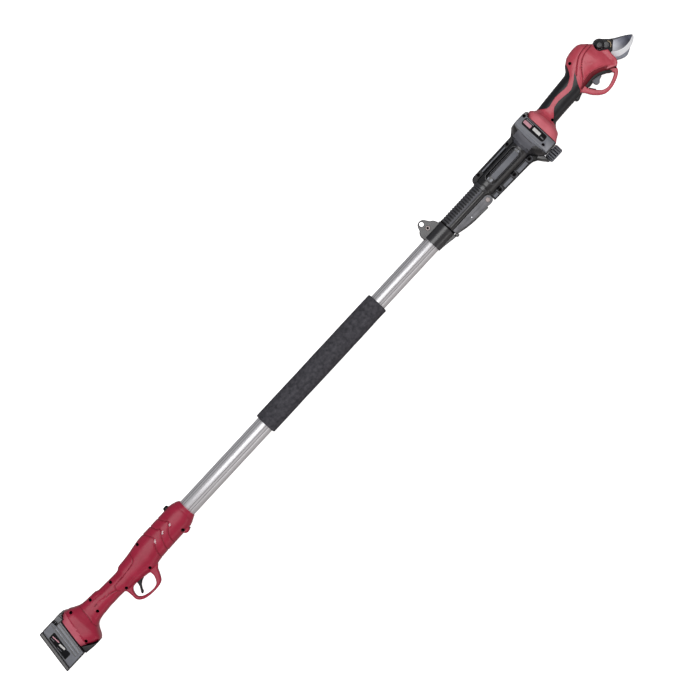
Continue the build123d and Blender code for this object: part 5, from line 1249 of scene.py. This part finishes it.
def shear_piece(side):
    p = Piece("shear_front" if side > 0 else "shear_back")
    xs = np.concatenate([np.arange(489.4, 590, 0.95), np.arange(590, 655.7, 0.6), [656.0]])
    p.add_mesh(loft(SHEAR, xs, side, shear_expo, 2.6, shear_disp, m=84, soft=1.0), RED_SHEAR)

    def take(q):
        bmesh.ops.recalc_face_normals(q.bm, faces=q.bm.faces[:])
        q.bm.verts.index_update()
        vs = [tuple(v.co) for v in q.bm.verts]
        fs = [[v.index for v in f.verts] for f in q.bm.faces]
        q.bm.free()
        return vs, fs
    # cheek that holds the fixed blade
    ck = Piece("k")
    ck.add_mesh(prism(rounded([(638, -16), (638, 12), (648, 23), (656.5, 13.2), (661, 9.6), (666, 6.4), (665.4, 0), (664.6, -8),
                               (664.6, -15), (660.6, -21.6), (654, -25)], 1.5), -14.0, 14.0, 2.4, res=5), RED_SHEAR)
    ck.half(side)
    p.cut(take(ck), "UNION")
    g = Piece("g")
    g.add_mesh(prism(smooth_curve(SHEAR_GUARD_OUT[1:-2], 4) + [(650, -14), (640, -6), (592, -6), (581.5, -5)], -7.4, 7.4, 2.2,
                     [smooth_curve(SHEAR_GUARD_IN, 4, True)], 4), RED_SHEAR)
    g.half(side)
    p.cut(take(g), "UNION")
    # bite round the pivot, room for the blades and the trigger
    p.cut(join(block(circle(PIVOT, 10.5, 56), -60, 60)))
    p.cut(block([(654.0, 24), (655, 30.2), (657, 31.8), (680, 40), (680, 8.6), (668, 8.2), (662, 12)], -60, 60))
    pie = [PIVOT] + [(PIVOT[0] + 25 * math.cos(math.radians(a)), PIVOT[1] + 25 * math.sin(math.radians(a)))
                     for a in np.linspace(134, 284, 20)]
    p.cut(block(pie, -3.9, 4.3))
    p.cut(block([(646.5, -12.4), (646.5, 16.2), (652.4, 30), (661, 33.1), (680, 33), (680, -24), (666, -17),
                 (660, -18.5), (651.6, -17.6)], -3.9, 4.3))
    p.cut(block([(602.4, -24), (602.4, -2.6), (631.5, -2.6), (631.5, -24)], -5.3, 5.3))
    # foot shoulder and tongue
    p.cut(block([(480, 27.0), (489.0, 27.3), (491.8, 30.7), (495.5, 32.8), (495.5, 45), (480, 45)], -60, 60))
    if side > 0:
        p.cut(join(*[block(circle(c, 2.85, 28), 8.9, 60) for c in (SHEAR_SCREWS[0], SHEAR_SCREWS[2])]))
        p.cut(block(circle((653.2, -23.6), 1.9, 24), 5.6, 60))
        # dark disc in the screw hole: painted shade
        p.add_mesh(prism(circle((653.2, -23.6), 1.75, 24), 5.0, 6.2, 0.2), RECESS_SHADE)

    def shade(x, y, z, nx, ny, nz):
        b = inside(x, y, UNDER + [(654, -60), (578, -60)])
        return (b > 0.8) & (x > 586) & (y > -22) & ~((y < -10.5) & (x < 600)) & (x < 653) & (np.abs(z) > 7.6)
    p.paint(RED_DARK, shade)
    p.paint(RED_DARK, lambda x, y, z, nx, ny, nz: (np.minimum(seg_dist(x, y, LINE_A), seg_dist(x, y, LINE_B)) < 0.62)
            & (np.abs(z) > 3))
    # paler red on the facet along the foot: painted highlight
    p.paint(RED_PALE_HIGHLIGHT, lambda x, y, z, nx, ny, nz: (
        x < np.interp(y, [-40, -22, -10, 10, 25, 40], [505.0, 506.0, 507.4, 507.0, 503.2, 502.0])) & (np.abs(z) > 8))
    zz = lambda a, b: (a, b) if side > 0 else (-b, -a)
    # black strip along the underside above the trigger hole: painted shade
    p.add_mesh(prism(rounded([(604.0, -7.0), (614, -6.6), (625, -7.6), (635, -12.2), (642.4, -18), (645.4, -24.2), (642.6, -24.8),
                              (637, -19.9), (629.8, -15.9), (621, -12.4), (612, -10.6), (605, -10.4)], 0.6), *zz(5.5, 9.0), 0.5), BLACK_DEEP)
    p.add_mesh(prism(rounded([(594.6, -8.0), (604, -7.2), (611.0, -9.6), (607.4, -14.2), (600.0, -15.0), (595.4, -12.4)], 0.8),
                     *zz(5.5, 7.7), 0.5), BLACK_DEEP)
    p.add_mesh(prism([(596.6, -15.6), (597.8, -14.9), (604.4, -25.0), (603.3, -25.7)], *zz(7.1, 7.55), 0.1), RECESS_SHADE)
    node = "shear_front_shell" if side > 0 else "shear_back_shell"
    return p.done("upper_pole", [node], 32)


shear_piece(1)
shear_piece(-1)


def pads():
    for name, outline, node in (("upper_pad", UPPER_PAD, "upper_grip_pad"), ("lower_pad", LOWER_PAD, "lower_grip_pad")):
        p = Piece(name)
        xs = np.arange(504.0, 606.0, 1.0)
        p.add_mesh(loft(SHEAR, xs, 0, shear_expo, 1.6, pad_disp, m=64, soft=1.0, grow=0.6), RUBBER)
        p.cut(block(outline, -40, 40), "INTERSECT")
        if name == "lower_pad":
            p.add_mesh(prism(rounded([(565.0, -9.4), (568.0, -16.0), (571.4, -17.2), (577.0, -14.8), (583.6, -12.8), (582.6, -8.6)], 1.6),
                             -8.5, 8.5, 2.4, res=3), RUBBER)
        p.done("upper_pole", [node], 40)


pads()


# ============================================================ blades and pivot
def sample(line, n):
    p = np.array(line, float)
    s = np.concatenate([[0], np.cumsum(np.hypot(*np.diff(p, axis=0).T))])
    t = np.linspace(0, s[-1], n)
    return np.stack([np.interp(t, s, p[:, 0]), np.interp(t, s, p[:, 1])], 1)


def blade():
    n = 60
    spine = sample(smooth_curve([(661, 33), (668, 31), (674, 23), (680, 17.4), (690, 10.4), (700, 4.2), (708, -1.4), (713.6, -6.4)]), n)
    bevel = sample(smooth_curve([(652, 14), (660, 4), (667, 0.5), (673, -5), (680, -9), (688, -11.5), (696, -12), (704, -11), (710, -9), (713.8, -7.0)]), n)
    edge = sample(smooth_curve([(650, 18), (655, 8), (659.4, 0), (663.4, -7.0), (668, -12.6), (673, -16.0), (680, -18.4), (690, -19.6), (698, -19.0), (706, -16.2), (712, -12.4), (714.6, -8.4)]), n)
    back = spine + (bevel - spine) * 0.14
    rows = []
    for k, (zf, zb) in enumerate(((3.0, 0.35), (3.45, 0.12), (3.45, 0.12), (0.75, 0.12))):
        line = (spine, back, bevel, edge)[k]
        rows.append((line, zf, zb))
    v, f = [], []
    for line, zf, _ in rows:
        v += [(x, y, zf) for x, y in line]
    for line, _, zb in rows:
        v += [(x, y, zb) for x, y in line]
    R = 4
    for k in range(R - 1):
        for i in range(n - 1):
            a, b = k * n + i, (k + 1) * n + i
            f.append((a, a + 1, b + 1, b))
            c, d = (R + k) * n + i, (R + k + 1) * n + i
            f.append((c, d, d + 1, c + 1))
    for i in range(n - 1):
        f.append((i, R * n + i, R * n + i + 1, i + 1))
        a, b = (R - 1) * n + i, (2 * R - 1) * n + i
        f.append((a, a + 1, b + 1, b))
    for k in range(R - 1):
        f.append((k * n, (k + 1) * n, (R + k + 1) * n, (R + k) * n))
        e = n - 1
        f.append((k * n + e, (R + k) * n + e, (R + k + 1) * n + e, (k + 1) * n + e))
    p = Piece("moving_blade")
    p.add(v, f, BLADE)
    # hub and toothed sector
    M = 1.5
    srp = 22.5

    def tooth(at):
        pts = [(srp - 1.2 * M - 0.4, 12 * 0.215 * 1.36), (srp, 12 * 0.215), (srp + 0.8 * M, 12 * 0.215 * 0.46)]
        return [(r, at - a) for r, a in pts] + [(r, at + a) for r, a in reversed(pts)]
    ring = []
    teeth = [200 + (i + 0.5) * 12 for i in range(-5, 1)]
    ring.append((srp - 1.25 * M, 142))
    for at in teeth:
        ring += tooth(at)
    ring.append((srp - 1.25 * M, 212))
    hub = [(11.9, a) for a in np.linspace(220, 142 + 352, 40) if not 136 < a % 360 < 216]
    outline = [(PIVOT[0] + r * math.cos(math.radians(a)), PIVOT[1] + r * math.sin(math.radians(a))) for r, a in ring + hub]
    gear = prism(outline, 0.12, 3.45, 0.12, [circle(PIVOT, 4.08, 40)], 1)
    p.cut(block(circle(PIVOT, 4.08, 40), -5, 10))
    p.add_mesh(gear, STEEL_DARK)
    eb = [tuple(q) for q in bevel]
    ee = [tuple(q) for q in edge]
    region = eb + ee[::-1]
    sp = [tuple(q) for q in spine]
    bk = [tuple(q) for q in back]
    p.paint(STEEL_EDGE, lambda x, y, z, nx, ny, nz: (x > 664) & (inside(x, y, region) > -0.05) & (z > 0.3))
    p.paint(STEEL_DARK, lambda x, y, z, nx, ny, nz: (x > 664) & (seg_dist(x, y, sp) < 2.3) & (x < 712)
            & (inside(x, y, region) < -0.05))
    root = [(660, 33), (668, 31.3), (675, 23.6), (681.2, 16.8), (685.4, 13.6), (684.4, 9.4), (678.8, 5.6), (671.4, -1.0), (665.8, -1.6), (663.6, 6), (667, 14)]
    p.add_mesh(prism(rounded(root, 0.8), 3.35, 3.58, 0.06), BLACK_DEEP)
    p.done("blade", ["cutting_blade"], 25)

    q = Piece("hook_blade")
    counter = [(647, -12), (647, 16), (653, 29.5), (661, 32.4), (669, 30), (673, 22), (671, 12), (667, 3), (665, -6),
               (670, -9.5), (678, -13.2), (688, -14.6), (698, -13.6), (706, -10.4), (710.6, -8.4), (707, -13.0),
               (700, -17.4), (692, -21.6), (684, -24.9), (678, -24.6), (671.6, -21.8), (665, -17.8), (660, -18), (652, -17)]
    q.add_mesh(prism(rounded(counter, 2.0), -3.5, -0.12, 0.7, [circle(PIVOT, 4.08, 40)], 2), STEEL_MID)
    q.done("upper_pole", ["counter_blade"], 30)


blade()


def pivot():
    c = Piece("pivot_cap")
    prof = [(0, 10.0), (2.2, 10.0), (2.6, 11.2), (3.2, 11.25), (4.6, 11.0), (5.8, 10.3), (7.0, 9.0), (8.0, 7.4), (8.7, 5.6),
            (9.0, 4.35), (6.95, 4.35), (6.95, 7.5), (0, 7.5)]
    c.add_mesh(lathe(prof, 64, place(*PIVOT, 0)), BLACK_GLOSS)
    for k in range(3):
        a = math.radians(200 + 28 * k)
        x, y = PIVOT[0] + 7.2 * math.cos(a), PIVOT[1] + 7.2 * math.sin(a)
        c.add_mesh(prism(circle((x, y), 0.8, 12), 6.9, 8.9, 0.3), GREY)
    c.done("upper_pole", ["pivot_cover"], 35)
    w = Piece("pivot_ring")
    oval = [(PIVOT[0] + 9.9 * math.cos(t), PIVOT[1] + 9.9 * math.sin(t)) for t in np.linspace(math.radians(48), math.radians(228), 28)]
    oval += [(670.2 + 9.2 * math.cos(t), 13.6 + 9.2 * math.sin(t)) for t in np.linspace(math.radians(228), math.radians(408), 28)]
    w.add_mesh(prism(oval, 3.62, 4.28, 0.2, [circle(PIVOT, 4.12, 32)], 2), BLACK_DEEP)
    arc = [(math.cos(t), math.sin(t)) for t in np.linspace(math.radians(-80), math.radians(35), 16)]
    w.add_mesh(prism([(671.4 + 7.4 * c, 12.2 + 7.4 * q) for c, q in arc] + [(671.4 + 6.2 * c, 12.2 + 6.2 * q) for c, q in arc[::-1]],
                     4.2, 4.8, 0.2), GOLD_DULL)
    w.add_mesh(prism(circle((670.6, 13.2), 5.6, 40), 4.2, 6.4, 0.9, res=4), BLACK_GLOSS)
    w.add_mesh(prism(circle(PIVOT, 9.8, 48), -5.1, -3.62, 0.3, [circle(PIVOT, 4.12, 32)], 2), STEEL)
    w.done("upper_pole", ["pivot_washer"], 30)
    n = Piece("pivot_lock_nut")
    hexn = [(PIVOT[0] + 6.6 * math.cos(math.radians(60 * i)), PIVOT[1] + 6.6 * math.sin(math.radians(60 * i))) for i in range(6)]
    n.add_mesh(prism(circle(PIVOT, 9.8, 48), -6.7, -5.2, 0.4, [circle(PIVOT, 4.06, 32)], 2), STEEL_DARK)
    n.add_mesh(prism(rounded(hexn, 0.5), -10.7, -6.6, 0.5, [circle(PIVOT, 4.06, 32)], 2), STEEL_DARK)
    n.done("upper_pole", ["pivot_nut"], 30)


pivot()

# ============================================================ CAD nodes that show as they are
# screws sunk in their holes take the recess colour: painted shade
CARRIED = {
    "handle_screws": RECESS_SHADE, "adapter_screws": RECESS_SHADE, "shear_screws": RECESS_SHADE, "battery_screws": STEEL_DARK,
    "terminal_block": BLACK, "control_board": GREY_DARK, "trigger_switch": GREY, "trigger_pin": STEEL,
    "grip_trigger_spring": STEEL, "cross_bolt_nut": STEEL_DARK, "guide_bush": BLACK, "inner_lock_plug": BLACK,
    "battery_cells": GREY_LIGHT, "battery_terminals": BRASS, "button_springs": STEEL, "collar_nut": STEEL,
    "adapter_contacts": BRASS, "knob_insert": BRASS, "knob_stud": STEEL_DARK, "shear_motor": STEEL, "gearbox": ALU,
    "drive_bearing": STEEL, "shear_board": GREY_DARK, "shear_switch": GREY, "shear_trigger_pin": STEEL,
    "drive_pinion": STEEL, "pivot_bolt": STEEL_DARK,
}
for node, mat in CARRIED.items():
    o = frame["nodes"][node]
    if not o.material_slots:
        o.data.materials.append(mat)
    for s in o.material_slots:
        s.material = mat

# ============================================================ floor and light
def stage():
    me = bpy.data.meshes.new("floor")
    r = 8.0
    me.from_pydata([(-r, -r, 0), (r, -r, 0), (r, r, 0), (-r, r, 0)], [], [(0, 1, 2, 3)])
    floor = bpy.data.objects.new("floor", me)
    bpy.context.scene.collection.objects.link(floor)
    m = bpy.data.materials.new("floor")
    m.use_nodes = True
    nt = m.node_tree
    b = nt.nodes["Principled BSDF"]
    b.inputs["Roughness"].default_value = 0.9
    b.inputs["Specular IOR Level"].default_value = 0.0
    b.inputs["Emission Color"].default_value = (1, 1, 1, 1)
    b.inputs["Emission Strength"].default_value = FLOOR_GLOW
    tc, no, rp = nt.nodes.new("ShaderNodeTexCoord"), nt.nodes.new("ShaderNodeTexNoise"), nt.nodes.new("ShaderNodeValToRGB")
    no.inputs["Scale"].default_value = 3
    rp.color_ramp.elements[0].color, rp.color_ramp.elements[1].color = (0.92, 0.92, 0.92, 1), (0.95, 0.95, 0.95, 1)
    nt.links.new(tc.outputs["Object"], no.inputs["Vector"])
    nt.links.new(no.outputs["Fac"], rp.inputs[0])
    nt.links.new(rp.outputs[0], b.inputs["Base Color"])
    me.materials.append(m)
    floor.visible_glossy = False
    floor.visible_diffuse = False
    w = bpy.data.worlds.new("world")
    bpy.context.scene.world = w
    w.use_nodes = True
    nt = w.node_tree
    bg = nt.nodes["Background"]
    bg.inputs[1].default_value = 1.0
    tc, sep, mr = nt.nodes.new("ShaderNodeTexCoord"), nt.nodes.new("ShaderNodeSeparateXYZ"), nt.nodes.new("ShaderNodeMapRange")
    rp = nt.nodes.new("ShaderNodeValToRGB")
    mr.inputs["From Min"].default_value, mr.inputs["From Max"].default_value = -1, 1
    nt.links.new(tc.outputs["Generated"], sep.inputs[0])
    nt.links.new(sep.outputs["Y"], mr.inputs["Value"])
    nt.links.new(mr.outputs[0], rp.inputs[0])
    rp.color_ramp.elements[0].color = (0.36, 0.33, 0.32, 1)
    rp.color_ramp.elements[1].color = (0.20, 0.20, 0.21, 1)
    nt.links.new(rp.outputs[0], bg.inputs[0])

    def area(name, loc, target, size, size_y, radiance):
        d = bpy.data.lights.new(name, "AREA")
        d.shape, d.size, d.size_y = "RECTANGLE", size, size_y
        d.energy = radiance * math.pi * size * size_y
        o = bpy.data.objects.new(name, d)
        o.location = loc
        o.rotation_euler = (Vector(target) - Vector(loc)).to_track_quat("-Z", "Y").to_euler()
        bpy.context.scene.collection.objects.link(o)
    # a wide soft box overhead, a little to the far side of the pole, and weaker ones low around it
    area("key", (0.0, 0.55, 2.65), (0, 0, 0), 3.6, 1.8, KEY)
    area("low_near", (0.0, -2.3, 1.0), (0, 0, 0), 3.2, 0.7, LOW)
    area("low_end", (-3.0, 0.35, 1.1), (0.2, 0, 0), 1.2, 0.9, LOW * 1.4)


FLOOR_GLOW, KEY, LOW = 0.9, 2.15, 0.95
stage()
bpy.context.scene.view_settings.view_transform = "Standard"
